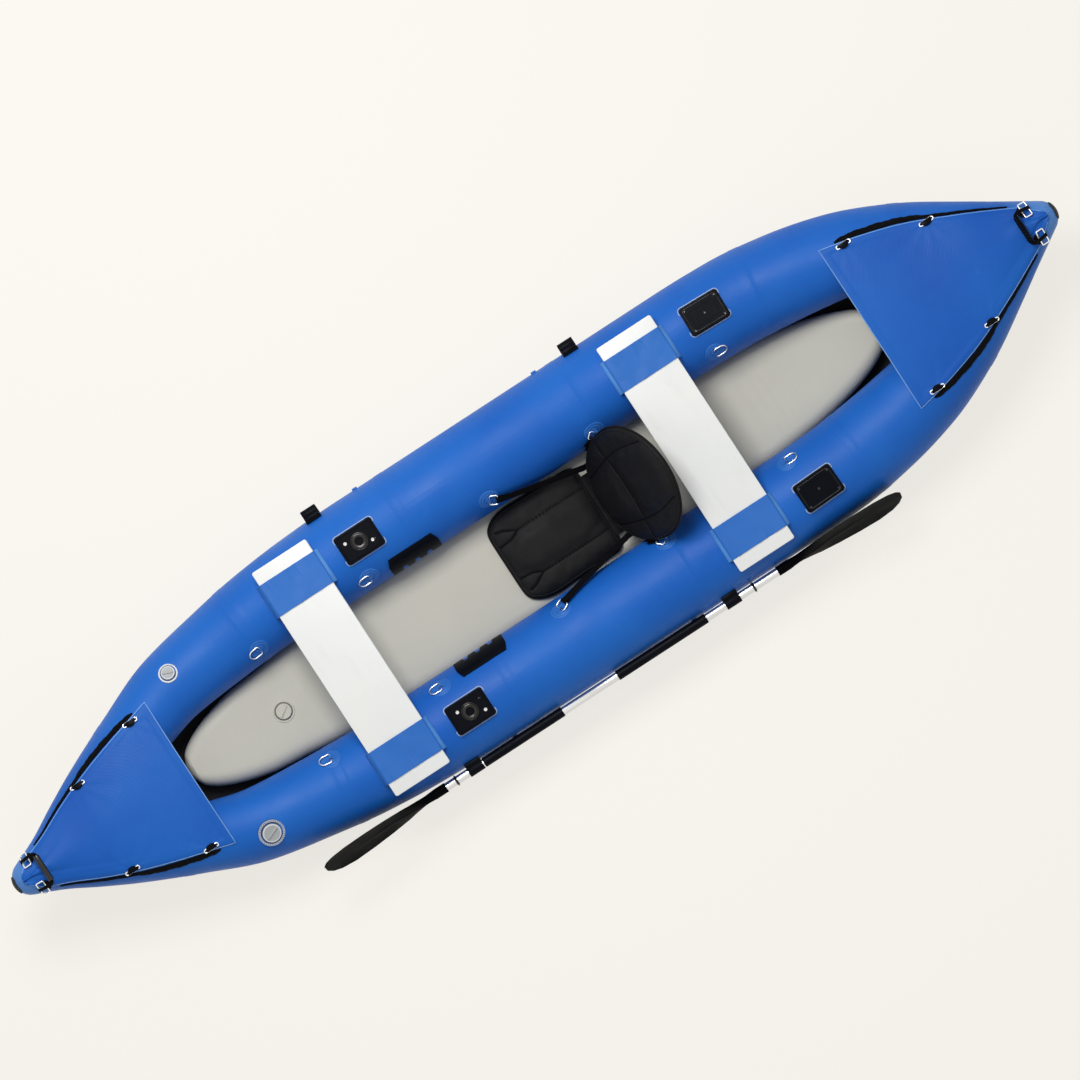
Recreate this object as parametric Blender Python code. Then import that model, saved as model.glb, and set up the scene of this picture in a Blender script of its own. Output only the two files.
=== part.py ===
"""Inflatable two-tube kayak with air floor, spray decks, benches, folding seat and a stowed paddle.

Metres, +X to the bow, +Y to port, +Z up. The origin is the middle of the flat underside.
Angles round a tube are measured from its top line, positive towards the outside of the boat.
"""

from math import atan2, cos, degrees, pi, radians, sin, sqrt

import bmesh
import bpy
import numpy as np
from mathutils import Matrix, Vector

for thing in list(bpy.data.objects):
    bpy.data.objects.remove(thing, do_unlink=True)

# Driving dimensions of the hull
GAP = 0.0003
SKIN = 0.0037
TUBE_RADIUS = 0.1515
HALF_BEAM = 0.476
TUBE_SPREAD = HALF_BEAM - TUBE_RADIUS
TUBE_SIDES = 24
RING_STEP = 0.11
SKIN_WRAP = radians(45)

# Rows of a tube: place along the boat, centre's distance from the keel line, rise of its
# underside above the flat bottom, and radius
TUBE_ROWS = (
    (-1.922, 0.000, 0.272, 0.058),
    (-1.816, 0.055, 0.238, 0.070),
    (-1.705, 0.108, 0.200, 0.088),
    (-1.502, 0.201, 0.122, 0.118),
    (-1.315, 0.261, 0.066, 0.139),
    (-1.132, 0.298, 0.026, 0.148),
    (-0.952, 0.319, 0.006, TUBE_RADIUS),
    (-0.764, TUBE_SPREAD, 0.000, TUBE_RADIUS),
    (0.470, TUBE_SPREAD, 0.000, TUBE_RADIUS),
    (0.660, 0.3213, 0.000, 0.149),
    (0.848, 0.313, 0.003, 0.142),
    (1.041, 0.292, 0.020, 0.132),
    (1.226, 0.2635, 0.058, 0.122),
    (1.415, 0.198, 0.108, 0.110),
    (1.619, 0.1244, 0.172, 0.090),
    (1.720, 0.083, 0.207, 0.078),
    (1.825, 0.034, 0.243, 0.068),
    (1.920, 0.000, 0.274, 0.060),
)

# Air floor
FLOOR_HALF_WIDTH = 0.200
FLOOR_THICKNESS = 0.100
FLOOR_BOW_TIP = 1.335
FLOOR_STERN_TIP = -1.345
FLOOR_TAPER_START = 0.35
FLOOR_BOW_SHAPE = (2.2, 0.45)
FLOOR_STERN_SHAPE = (3.0, 0.5)

# Spray decks: inner edge, outer tip, hem angles on the tube, ring places as shares of the length
DECK_THICKNESS = 0.003
DECK_CROWN = 0.010
HEM_WIDTH = 0.022
HEM_HEIGHT = 0.002
BOW_DECK = {"inner": 1.316, "tip": 1.940, "angles": (16, 52), "ease": 1.0, "rings": (0.117, 0.511)}
STERN_DECK = {"inner": -1.274, "tip": -1.940, "angles": (12, 50), "ease": 1.5,
              "rings": (0.114, 0.502)}
DECK_ROWS = 12
DECK_RING_INSET = 0.010
DECK_TAB_RADIUS = 0.019
DECK_TAB_HEIGHT = 0.003
DECK_TAB_FRONT = 0.004
DECK_RING_WIDTH = 0.050
DECK_RING_DEPTH = 0.024
DECK_RING_CORNER = 0.0035
LINE_WIDTH = 0.023
LINE_THICKNESS = 0.004
LINE_CLEARANCE = 0.0025

# Carry handles
BOW_HANDLE = {"ring": (1.888, 0.047), "bar": 1.860}
STERN_HANDLE = {"ring": (-1.877, 0.048), "bar": -1.848}
HANDLE_RING_LIFT = 0.003
HANDLE_HALF_WIDTH = 0.057
HANDLE_WEB = (0.012, 0.002)
GRIP_RADIUS = 0.0095
GRIP_HALF_LENGTH = 0.047
GRIP_RISE = 0.012

# D-rings on the tubes
RING_WIRE = 0.0023
RING_WIDTH = 0.036
RING_DEPTH = 0.040
RING_CORNER = 0.006
PATCH_RADIUS = 0.036
PATCH_THICKNESS = 0.002
KEEPER_WIDTH = 0.020
KEEPER_WALL = 0.0025
RING_CLEARANCE = 0.0006
RING_SPREAD = 0.210
FREE_RINGS = (("bow", 0.919, 1), ("mid", 0.498, 1), ("stern", -0.825, -1))
STRAP_RINGS = (("front", 0.040), ("rear", -0.363))
STRAP_RING_WIDTH = 0.040
STRAP_RING_DEPTH = 0.026
STRAP_RING_LIFT = radians(20)

# Benches and their sleeves
BENCH_PLACES = (("bow", 0.703), ("stern", -0.610))
BENCH_WIDTH = 0.205
BENCH_LENGTH = 0.850
BENCH_THICKNESS = 0.018
BENCH_CORNER = 0.007
SLEEVE_INNER = 0.260
SLEEVE_OUTER = 0.378
SLEEVE_WALL = 0.0025
SLEEVE_FLANGE = 0.012
SLEEVE_CLEARANCE = 0.0005

# Accessory plates on top of the tubes
PLATE_LENGTH = 0.140
PLATE_WIDTH = 0.100
PLATE_CORNER = 0.010
PLATE_HEIGHT = 0.007
PLATE_PLACES = (("bow", 0.460, 0.3245), ("stern", -0.863, 0.335))
SOCKET_RADIUS = 0.022
SOCKET_BORE = 0.012
SOCKET_HEIGHT = 0.008
TRAY_MARGIN = 0.022
TRAY_DEPTH = 0.002

# Foot rest racks on the inner shoulders of the tubes
RACK_PLACE = 0.337
RACK_LENGTH = 0.184
RACK_EDGES = (0.182, 0.224)
RACK_THICKNESS = 0.006
RACK_NOTCHES = 3
RACK_NOTCH = (0.020, 0.011)
RACK_SLOPE = 0.010

# Valves: the tube valves lie behind the bow deck's edge and outboard of the tube's crest
TUBE_VALVE_SETBACK = 0.112
TUBE_VALVE_OFFSET = 0.036
PORT_VALVE_RADIUS = 0.0435
STARBOARD_VALVE_RADIUS = 0.0315
FLOOR_VALVE_PLACE = 0.973
FLOOR_VALVE_RADIUS = 0.036
FLOOR_VALVE_PAD = 0.040
VALVE_HEIGHT = 0.0025
CAP_HEIGHT = 0.006
CAP_RIDGE = 0.004

# Seat
SEAT_FRONT = 0.109
SEAT_BACK_EDGE = -0.245
SEAT_HALF_WIDTH = 0.166
SEAT_THICKNESS = 0.040
SEAT_CROWN = 0.012
SEAT_CHANNEL = 0.082
BACK_HINGE = (-0.258, 0.138)
BACK_HEIGHT = 0.430
BACK_HALF_WIDTH = 0.198
BACK_THICKNESS = 0.040
BACK_RECLINE = radians(33)
BACK_CROWN = 0.010
CHANNEL_DEPTH = 0.004
SEAT_STRAP_SHARES = {"front": 0.11, "rear": 0.26}
STRAP_WIDTH = 0.025
STRAP_THICKNESS = 0.002

# Paddle, stowed along the outside of the port tube
PADDLE_ANGLE = radians(75)
PAD_THICKNESS = 0.006
SHAFT_RADIUS = 0.0138
SHAFT_ENDS = (0.706, -0.657)
BLADE_SOCKET = 0.045
BLADE_LENGTH = 0.468
BLADE_HALF_WIDTH = 0.088
BLADE_TILT = radians(21)
BLADE_SPOON = 0.010
BLADE_HOLLOW = 0.006
NECK_RADIUS = 0.0170
GRIPS = ((0.2128, 0.5165), (-0.338, 0.0038))
GRIP_SLEEVE = 0.0026
DRIP_RINGS = (0.6217, -0.5208)
DRIP_RADIUS = 0.0198
DRIP_WIDTH = 0.008
HOLDER_PLACES = (("bow", 0.5475), ("stern", -0.439))
HOLDER_LENGTH = 0.055
CLIP_WALL = 0.003
CLIP_CLEARANCE = 0.0006
CLIP_SPLIT = radians(60)
FOOT_REACH = 0.012
LUG_PLACES = (0.386, -0.303)

# Nose guards
GUARD_HALF_WIDTH = 0.030
GUARD_THICKNESS = 0.003
GUARD_ARC = (radians(38), radians(-78))


def finish(name, colour, roughness, metallic=0.0):
    """A Principled material for a piece."""
    material = bpy.data.materials.new(name)
    material.use_nodes = True
    shader = material.node_tree.nodes["Principled BSDF"]
    shader.inputs["Base Color"].default_value = (*colour, 1.0)
    shader.inputs["Roughness"].default_value = roughness
    shader.inputs["Metallic"].default_value = metallic
    material.diffuse_color = (*colour, 1.0)
    return material


BLUE = finish("blue_pvc", (0.020, 0.110, 0.520), 0.38)
GREY = finish("grey_pvc", (0.420, 0.410, 0.370), 0.55)
DARK = finish("dark_bottom_pvc", (0.060, 0.062, 0.068), 0.60)
BLACK_WEB = finish("black_webbing", (0.010, 0.010, 0.012), 0.75)
BLACK_PLASTIC = finish("black_plastic", (0.012, 0.012, 0.014), 0.35)
BLACK_PAD = finish("black_padding", (0.016, 0.016, 0.018), 0.60)
WHITE = finish("white_board", (0.860, 0.865, 0.860), 0.35)
STEEL = finish("stainless_steel", (0.700, 0.710, 0.720), 0.22, 1.0)
SILVER = finish("silver_alloy", (0.720, 0.730, 0.740), 0.30, 1.0)
VALVE_GREY = finish("valve_grey", (0.480, 0.490, 0.500), 0.45)


def smooth_curve(places, values):
    """A cubic through the given points that never swings past them, as a function of place."""
    places, values = np.array(places), np.array(values)
    step = np.diff(places)
    slope = np.diff(values) / step
    lean = np.concatenate([[slope[0]], np.zeros(len(slope) - 1), [slope[-1]]])
    for i in range(1, len(slope)):
        if slope[i - 1] * slope[i] > 0:
            first, second = 2 * step[i] + step[i - 1], step[i] + 2 * step[i - 1]
            lean[i] = (first + second) / (first / slope[i - 1] + second / slope[i])

    def at(place):
        i = int(np.clip(np.searchsorted(places, place) - 1, 0, len(step) - 1))
        t = (place - places[i]) / step[i]
        a, b = values[i], values[i + 1]
        c, d = lean[i] * step[i], lean[i + 1] * step[i]
        cube = (2 * a - 2 * b + c + d) * t**3
        return float(cube + (3 * b - 3 * a - 2 * c - d) * t**2 + c * t + a)

    return at


ROWS = np.array(TUBE_ROWS)
tube_spread = smooth_curve(ROWS[:, 0], ROWS[:, 1])
tube_rise = smooth_curve(ROWS[:, 0], ROWS[:, 2])
tube_radius = smooth_curve(ROWS[:, 0], ROWS[:, 3])


def tube_centre(x):
    radius = tube_radius(x)
    return Vector((x, tube_spread(x), SKIN + GAP + tube_rise(x) + radius))


def tube_frame(x):
    """Centre, direction, outboard and upward unit vectors, and radius of the port tube at x."""
    step = 1e-3
    first, last = max(x - step, ROWS[0, 0]), min(x + step, ROWS[-1, 0])
    along = (tube_centre(last) - tube_centre(first)).normalized()
    up = (Vector((0, 0, 1)) - along * along.z).normalized()
    return tube_centre(x), along, up.cross(along), up, tube_radius(x)


def on_tube(x, angle, lift=0.0):
    centre, _, out, up, radius = tube_frame(x)
    return centre + (up * cos(angle) + out * sin(angle)) * (radius + lift)


def tube_above(x, y):
    """Station and angle of the port tube's upper surface over the plan point (x, y)."""
    station, angle = x, 0.0
    for _ in range(60):
        point = on_tube(station, angle)
        station = min(max(station + x - point.x, ROWS[0, 0]), ROWS[-1, 0])
        reach = tube_radius(station) * max(cos(angle), 0.25)
        angle = min(max(angle + (y - point.y) / reach, -1.45), 1.45)
    return station, angle


def tube_seat(x, y, side, facing=1, turn=None):
    """Matrix on a tube's surface: X along the tube, Z outward. turn gives the angle instead of y."""
    station, angle = (x, turn) if turn is not None else tube_above(x, y)
    centre, along, out, up, radius = tube_frame(station)
    normal = up * cos(angle) + out * sin(angle)
    place = centre + normal * radius
    mirror = Vector((1, side, 1))
    return frame_at(place * mirror, along * mirror * facing, normal * mirror)


def frame_at(place, forward, upward):
    """Matrix whose X runs forward and whose Z is as near upward as it can be."""
    x_axis = forward.normalized()
    z_axis = (upward - x_axis * upward.dot(x_axis)).normalized()
    turned = Matrix((x_axis, z_axis.cross(x_axis), z_axis)).transposed().to_4x4()
    turned.translation = place
    return turned


def piece(name, vertices, faces, material):
    """A closed mesh object with its faces turned outwards."""
    mesh = bpy.data.meshes.new(name)
    work = bmesh.new()
    corners = [work.verts.new(vertex) for vertex in vertices]
    for face in faces:
        work.faces.new([corners[i] for i in face])
    bmesh.ops.recalc_face_normals(work, faces=work.faces)
    work.to_mesh(mesh)
    work.free()
    mesh.materials.append(material)
    result = bpy.data.objects.new(name, mesh)
    bpy.context.scene.collection.objects.link(result)
    return result


def loft(name, rings, material, closed=False, ahead=(), back=()):
    """A skin over rings of points, capped at both ends or, when closed, joined end to end.

    Strips numbered in ahead or back are split into triangles, leaning that way.
    """
    count, size = len(rings), len(rings[0])
    faces = []
    for i in range(count if closed else count - 1):
        first, second = i * size, (i + 1) % count * size
        for j in range(size):
            k = (j + 1) % size
            if j in ahead:
                faces.append((first + j, first + k, second + k))
                faces.append((first + j, second + k, second + j))
            elif j in back:
                faces.append((first + j, first + k, second + j))
                faces.append((first + k, second + k, second + j))
            else:
                faces.append((first + j, first + k, second + k, second + j))
    if not closed:
        faces.append(tuple(range(size)))
        faces.append(tuple(range((count - 1) * size, count * size)))
    return piece(name, [point for ring in rings for point in ring], faces, material)


def prism(name, outline, low, high, matrix, material):
    """An outline in the matrix's XY plane, drawn from low to high along its Z."""
    rings = [[matrix @ Vector((x, y, z)) for x, y in outline] for z in (low, high)]
    return loft(name, rings, material)


def turned(name, profile, matrix, material, sides=24, closed=False):
    """A profile of (radius, height) pairs turned about the matrix's Z axis."""
    rings = []
    for radius, height in profile:
        turns = [2 * pi * i / sides for i in range(sides)]
        rings.append([matrix @ Vector((radius * cos(t), radius * sin(t), height)) for t in turns])
    return loft(name, rings, material, closed)


def sweep(name, points, ups, section, material, closed=False):
    """A section of (sideways, upward) offsets carried along points, ups giving its upright."""
    count = len(points)
    rings = []
    for i, point in enumerate(points):
        if closed:
            ahead, behind = points[(i + 1) % count], points[i - 1]
        else:
            ahead, behind = points[min(i + 1, count - 1)], points[max(i - 1, 0)]
        along = (ahead - behind).normalized()
        up = (ups[i] - along * ups[i].dot(along)).normalized()
        rings.append([point + along.cross(up) * a + up * b for a, b in section])
    return loft(name, rings, material, closed)


def circle(radius, sides, start=0.0):
    turns = [start + 2 * pi * i / sides for i in range(sides)]
    return [(radius * cos(turn), radius * sin(turn)) for turn in turns]


def rounded(length, width, corner, steps=3):
    """Outline of a rectangle with rounded corners, centred on the origin."""
    outline = []
    for quarter, (sx, sy) in enumerate(((1, 1), (-1, 1), (-1, -1), (1, -1))):
        for i in range(steps + 1):
            turn = (quarter + i / steps) * pi / 2
            x = sx * (length / 2 - corner) + corner * cos(turn)
            y = sy * (width / 2 - corner) + corner * sin(turn)
            outline.append((x, y))
    return outline


def settle(target):
    """Makes the evaluated mesh the object's own and drops its modifiers."""
    bpy.context.view_layer.update()
    graph = bpy.context.evaluated_depsgraph_get()
    mesh = bpy.data.meshes.new_from_object(target.evaluated_get(graph))
    target.modifiers.clear()
    target.data = mesh


def combine(target, tool, operation):
    """A Boolean with a tool object that is used up."""
    modifier = target.modifiers.new(operation.title(), "BOOLEAN")
    modifier.operation = operation
    modifier.solver = "EXACT"
    modifier.object = tool
    settle(target)
    bpy.data.objects.remove(tool, do_unlink=True)
    return target


def soften(target, angle=35):
    target.data.shade_smooth()
    target.data.set_sharp_from_angle(angle=radians(angle))
    return target


def move_origin(target, place):
    """Puts the object's origin on its joint without moving its shape."""
    target.data.transform(Matrix.Translation(-Vector(place)))
    target.location = place
    return target


def ring_stations():
    stations = []
    for first, last in zip(ROWS[:-1, 0], ROWS[1:, 0]):
        straight = first < 0 < last
        steps = 2 if straight else max(1, round((last - first) / RING_STEP))
        stations += [first + (last - first) * i / steps for i in range(steps)]
    return stations + [ROWS[-1, 0]]


def tube_rings(lift=0.0):
    """Rings of the port tube from the stern nose cap to the bow nose cap."""
    turns = [2 * pi * i / TUBE_SIDES for i in range(TUBE_SIDES)]
    stations = ring_stations()
    rings = [[on_tube(x, turn, lift) for turn in turns] for x in stations]
    for end, sign in ((0, -1), (-1, 1)):
        centre, along, out, up, radius = tube_frame(stations[end])
        caps = []
        for rise in (30, 58, 80):
            middle = centre + along * sign * (radius + lift) * sin(radians(rise))
            reach = (radius + lift) * cos(radians(rise))
            caps.append([middle + (up * cos(t) + out * sin(t)) * reach for t in turns])
        rings = caps[::-1] + rings if sign < 0 else rings + caps
    return rings


def tube_body(name, side=1, lift=0.0):
    """The port tube, or its mirror, grown by lift and still whole at the keel plane."""
    body = loft(name, tube_rings(lift), BLUE, ahead=range(TUBE_SIDES))
    if side < 0:
        body.data.transform(Matrix.Scale(-1, 4, (0, 1, 0)))
        body.data.flip_normals()
    return body


def split_at_keel(body):
    """Cuts off what lies beyond the keel plane and closes the cut."""
    work = bmesh.new()
    work.from_mesh(body.data)
    everything = work.verts[:] + work.edges[:] + work.faces[:]
    cut = bmesh.ops.bisect_plane(
        work, geom=everything, plane_co=(0, GAP / 2, 0), plane_no=(0, -1, 0), clear_outer=True
    )
    edges = [item for item in cut["geom_cut"] if isinstance(item, bmesh.types.BMEdge)]
    bmesh.ops.holes_fill(work, edges=edges)
    bmesh.ops.recalc_face_normals(work, faces=work.faces)
    work.to_mesh(body.data)
    work.free()


def mirrored(source, name):
    """A mirror image of a finished piece on the other side of the boat."""
    mesh = source.data.copy()
    mesh.transform(source.matrix_basis)
    mesh.transform(Matrix.Scale(-1, 4, (0, 1, 0)))
    mesh.flip_normals()
    result = bpy.data.objects.new(name, mesh)
    bpy.context.scene.collection.objects.link(result)
    return result


def side_name(side):
    return "port" if side > 0 else "starboard"


def clear_of_tube(target, side=1):
    return combine(target, tube_body("clearance", side, GAP), "DIFFERENCE")


def ring_height():
    """Height of a resting D-ring's wire centre over the tube."""
    return PATCH_THICKNESS + GAP + RING_WIRE


def d_ring_path(width, depth, corner, arc_steps=5):
    """Centre line of a D-ring: its bar on the Y axis, its bow towards +X."""
    half = width / 2
    reach = max(depth - half, corner + RING_WIRE)
    path = [(corner, -half), (0, corner - half), (0, half - corner), (corner, half), (reach, half)]
    for i in range(1, arc_steps + 1):
        turn = pi / 2 - pi * i / (arc_steps + 1)
        path.append((reach + (depth - reach) * cos(turn), half * sin(turn)))
    return path + [(reach, -half)]


def d_ring(name, matrix, width, depth, corner):
    """A D-ring of round wire, its bar on the matrix's Y axis and its bow towards X."""
    path = [matrix @ Vector((x, y, 0)) for x, y in d_ring_path(width, depth, corner)]
    return wire_loop(name, path, matrix)


def oblong_ring(name, matrix, width, depth, corner):
    """A rounded oblong ring of round wire, laid like a D-ring."""
    outline = rounded(depth, width, corner, 2)
    return wire_loop(name, [matrix @ Vector((x + depth / 2, y, 0)) for x, y in outline], matrix)


def wire_loop(name, path, matrix):
    upright = matrix.to_3x3() @ Vector((0, 0, 1))
    return sweep(name, path, [upright] * len(path), circle(RING_WIRE, 6), STEEL, closed=True)


def keeper(matrix):
    """The folded webbing loop that holds a D-ring's bar, with the bar's passage through it."""
    half = RING_WIRE + RING_CLEARANCE + KEEPER_WALL
    top = ring_height() + RING_WIRE + RING_CLEARANCE + KEEPER_WALL
    outline = [
        (-half - KEEPER_WALL, -2 * PATCH_THICKNESS),
        (half + KEEPER_WALL, -2 * PATCH_THICKNESS),
        (half + KEEPER_WALL, PATCH_THICKNESS + GAP),
        (half - KEEPER_WALL, top),
        (KEEPER_WALL - half, top),
        (-half - KEEPER_WALL, PATCH_THICKNESS + GAP),
    ]
    turned_up = matrix @ Matrix(((1, 0, 0, 0), (0, 0, 1, 0), (0, 1, 0, 0), (0, 0, 0, 1)))
    body = prism("keeper", outline, -KEEPER_WIDTH / 2, KEEPER_WIDTH / 2, turned_up, BLUE)
    reach = RING_WIRE + RING_CLEARANCE
    passage = [
        (-reach, PATCH_THICKNESS),
        (reach, PATCH_THICKNESS),
        (reach, ring_height() + reach),
        (-reach, ring_height() + reach),
    ]
    channel = prism("passage", passage, -KEEPER_WIDTH, KEEPER_WIDTH, turned_up, BLUE)
    return combine(body, channel, "DIFFERENCE")


def free_ring_seats():
    """Name and seat on the port tube of every D-ring that hangs free."""
    return [(f"{name}_ring", tube_seat(x, RING_SPREAD, 1, way)) for name, x, way in FREE_RINGS]


def strap_ring_seats():
    """Name and seat on the port tube of every ring that a seat strap pulls towards the back."""
    seats = []
    for place, x in STRAP_RINGS:
        level = tube_seat(x, RING_SPREAD, 1)
        normal = (level.to_3x3() @ Vector((0, 0, 1))).normalized()
        pull = strap_end(place)[0] - level.translation
        seats.append((f"seat_{place}_ring", frame_at(level.translation,
                                                     pull - normal * pull.dot(normal), normal)))
    return seats


def ring_seats():
    return free_ring_seats() + strap_ring_seats()


def pulled_ring(seat):
    """A strap ring's own matrix: its bar in the keeper, the rest lifted by the strap."""
    lifted = seat @ Matrix.Translation((0, 0, ring_height()))
    return lifted @ Matrix.Rotation(-STRAP_RING_LIFT, 4, "Y")


def strap_end(place):
    """Middle of the port strap's sewn end beside the seat back's edge, and its facing."""
    frame = back_frame()
    s = BACK_HEIGHT * SEAT_STRAP_SHARES[place]
    step = 0.01
    slope = (back_half_width(s + step) - back_half_width(s - step)) / (2 * step)
    edge = Vector((1, -slope, 0)).normalized()
    end = Vector((back_half_width(s), s, 0)) + edge * (STRAP_THICKNESS / 2 + 3 * GAP)
    return frame @ end, (frame.to_3x3() @ -edge).normalized()


def shaft_axis():
    """Height and spread of the stowed shaft's centre line."""
    centre, _, out, up, radius = tube_frame(0.0)
    normal = up * cos(PADDLE_ANGLE) + out * sin(PADDLE_ANGLE)
    return centre + normal * (radius + PAD_THICKNESS + CLIP_CLEARANCE + SHAFT_RADIUS)


def clip_frame(x):
    """Matrix on the shaft's line at x: X along the boat, Z away from the tube, Y downwards."""
    _, _, out, up, _ = tube_frame(0.0)
    normal = up * cos(PADDLE_ANGLE) + out * sin(PADDLE_ANGLE)
    place = shaft_axis()
    place.x = x
    return frame_at(place, Vector((-1, 0, 0)), normal)


def clip_arc(start, end, steps):
    """Section of a clip wall round the shaft, in (down, outward) pairs, between two angles."""
    inner = SHAFT_RADIUS + CLIP_CLEARANCE
    turns = [start + (end - start) * i / steps for i in range(steps + 1)]
    near = [(-inner * sin(turn), inner * cos(turn)) for turn in turns]
    far = [(-(inner + CLIP_WALL) * sin(turn), (inner + CLIP_WALL) * cos(turn)) for turn in turns]
    return near, far


def extrude_section(name, section, matrix, length, material):
    """A (Y, Z) section of the matrix, drawn along its X, centred."""
    rings = [[matrix @ Vector((x, y, z)) for y, z in section] for x in (-length / 2, length / 2)]
    return loft(name, rings, material)


def holder_base(x):
    """Pad on the tube with the fixed upper hook of a paddle clip."""
    frame = clip_frame(x)
    inner = SHAFT_RADIUS + CLIP_CLEARANCE
    near, far = clip_arc(CLIP_SPLIT, radians(100), 3)
    foot = inner + CLIP_WALL + FOOT_REACH
    floor = -inner - PAD_THICKNESS
    low = floor - 3 * PAD_THICKNESS
    pad = [(-foot, low), (foot, low), (foot, floor + PAD_THICKNESS), (-foot, floor + PAD_THICKNESS)]
    body = extrude_section("pad", pad, frame, HOLDER_LENGTH, BLACK_WEB)
    hook = near + [(-inner, -inner - PAD_THICKNESS), (-foot + 0.004, -inner - PAD_THICKNESS)]
    hook += [(-foot + 0.004, CLIP_WALL - inner)] + far[::-1]
    part = extrude_section("hook", hook, frame, HOLDER_LENGTH, BLACK_WEB)
    return combine(body, part, "UNION")


def flap(name, x):
    """Hinged outer half of a paddle clip, turning on its lower foot."""
    frame = clip_frame(x)
    inner = SHAFT_RADIUS + CLIP_CLEARANCE
    near, far = clip_arc(radians(-100), CLIP_SPLIT - radians(3), 8)
    foot = inner + FOOT_REACH
    section = [(foot, GAP - inner), (inner + 0.001, GAP - inner)] + near
    section += far[::-1] + [(foot, CLIP_WALL - inner)]
    body = extrude_section(name, section, frame, HOLDER_LENGTH, BLACK_WEB)
    return move_origin(soften(body), frame @ Vector((0, foot, GAP - inner)))


def guard(end, way):
    """The rub guard round the outer face of a nose."""
    centre = tube_centre(ROWS[end, 0])
    radius = tube_radius(ROWS[end, 0])
    first, last = GUARD_ARC
    shares = (-1.0, -0.5, 0.0, 0.5, 1.0)
    rings = []
    for i in range(10):
        turn = first + (last - first) * i / 9
        ring = []
        for lift, row in ((GUARD_THICKNESS, shares), (-2 * GUARD_THICKNESS, shares[::-1])):
            for share in row:
                y = GUARD_HALF_WIDTH * share
                reach = sqrt((radius + lift) ** 2 - y * y)
                ring.append(Vector((centre.x + way * reach * cos(turn), y,
                                    centre.z + reach * sin(turn))))
        rings.append(ring)
    return loft("guard", rings, BLACK_PLASTIC)


def make_tubes():
    """The two tubes with what is welded to them: guards, ring patches, clip pads and lugs."""
    port = tube_body("tube_port")
    for end, way in ((-1, 1), (0, -1)):
        combine(port, guard(end, way), "UNION")
    split_at_keel(port)
    for _, seat in ring_seats():
        patch = prism("patch", circle(PATCH_RADIUS, 20), -0.02, 0.02, seat, BLUE)
        combine(patch, tube_body("layer", lift=PATCH_THICKNESS), "INTERSECT")
        combine(port, patch, "UNION")
        combine(port, keeper(seat), "UNION")
    for _, x in HOLDER_PLACES:
        combine(port, holder_base(x), "UNION")
    for x in LUG_PLACES:
        seat = tube_seat(x, 0, 1, turn=radians(82))
        lug = prism("lug", rounded(0.018, 0.008, 0.0035), -0.005, 0.007, seat, BLUE)
        combine(port, lug, "UNION")
    soften(port)
    mirrored(port, "tube_starboard")


def keel_points():
    """Lowest points of the tube's rings, where the bottom skin lies against it."""
    points = []
    for x in ring_stations():
        if tube_spread(x) > 0.03:
            points.append((x, on_tube(x, pi, GAP)))
    return points


def make_bottom_skin():
    """The sheet under tubes and floor, wrapped part of the way up each tube's outer side."""
    turns = [pi - SKIN_WRAP * i / 3 for i in range(3, -1, -1)]
    rings = []
    for x, _ in keel_points():
        centre, _, out, up, radius = tube_frame(x)
        normals = [up * cos(turn) + out * sin(turn) for turn in turns]
        top = [centre + n * (radius + GAP) for n in normals]
        under = [centre + n * (radius + GAP + SKIN) for n in normals]
        mirror = Vector((1, -1, 1))
        ring = top + [p * mirror for p in top[::-1]]
        ring += [p * mirror for p in under] + under[::-1]
        rings.append(ring)
    strips = len(turns) - 1
    ahead, back = range(strips), range(strips + 1, 2 * strips + 1)
    soften(loft("bottom_skin", rings, DARK, ahead=ahead, back=back))


KEEL_X = [point.x for _, point in keel_points()]
KEEL_Z = [point.z for _, point in keel_points()]


def keel_height(x):
    return float(np.interp(x, KEEL_X, KEEL_Z))


def floor_half_width(x):
    tip, (power, root) = (
        (FLOOR_BOW_TIP, FLOOR_BOW_SHAPE) if x > 0 else (FLOOR_STERN_TIP, FLOOR_STERN_SHAPE)
    )
    start = FLOOR_TAPER_START if x > 0 else -FLOOR_TAPER_START
    t = min(max((x - start) / (tip - start), 0.0), 1.0)
    return FLOOR_HALF_WIDTH * (1 - t**power) ** root


def floor_stations():
    """Places of the floor's cross sections, with a flat stretch under the floor valve."""
    stations = []
    for tip, start in ((FLOOR_STERN_TIP, -FLOOR_TAPER_START), (FLOOR_BOW_TIP, FLOOR_TAPER_START)):
        stations += [start + (tip - start) * 0.995 * sin(pi / 2 * i / 9) for i in range(10)]
    first, last = FLOOR_VALVE_PLACE - FLOOR_VALVE_PAD, FLOOR_VALVE_PLACE + FLOOR_VALVE_PAD
    return sorted([x for x in stations if not first < x < last] + [first, last])


FLOOR_X = floor_stations()


def floor_top(x):
    """Height of the floor's upper face, straight between its cross sections."""
    tops = [keel_height(place) + GAP + FLOOR_THICKNESS for place in FLOOR_X]
    return float(np.interp(x, FLOOR_X, tops))


def make_floor():
    """The air floor: a flat slab with half-round sides that narrows to rounded ends."""
    rings = []
    for x in FLOOR_X:
        width = floor_half_width(x)
        radius = min(FLOOR_THICKNESS / 2, width * 0.8)
        middle = keel_height(x) + GAP + FLOOR_THICKNESS / 2
        ring = []
        for sign in (1, -1):
            for i in range(7):
                turn = pi / 2 - pi * i / 6
                y = sign * (width - radius + radius * cos(turn))
                z = middle + sign * radius * sin(turn)
                ring.append(Vector((x, y, z)))
        rings.append(ring)
    soften(loft("air_floor", rings, GREY), 50)


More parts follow.
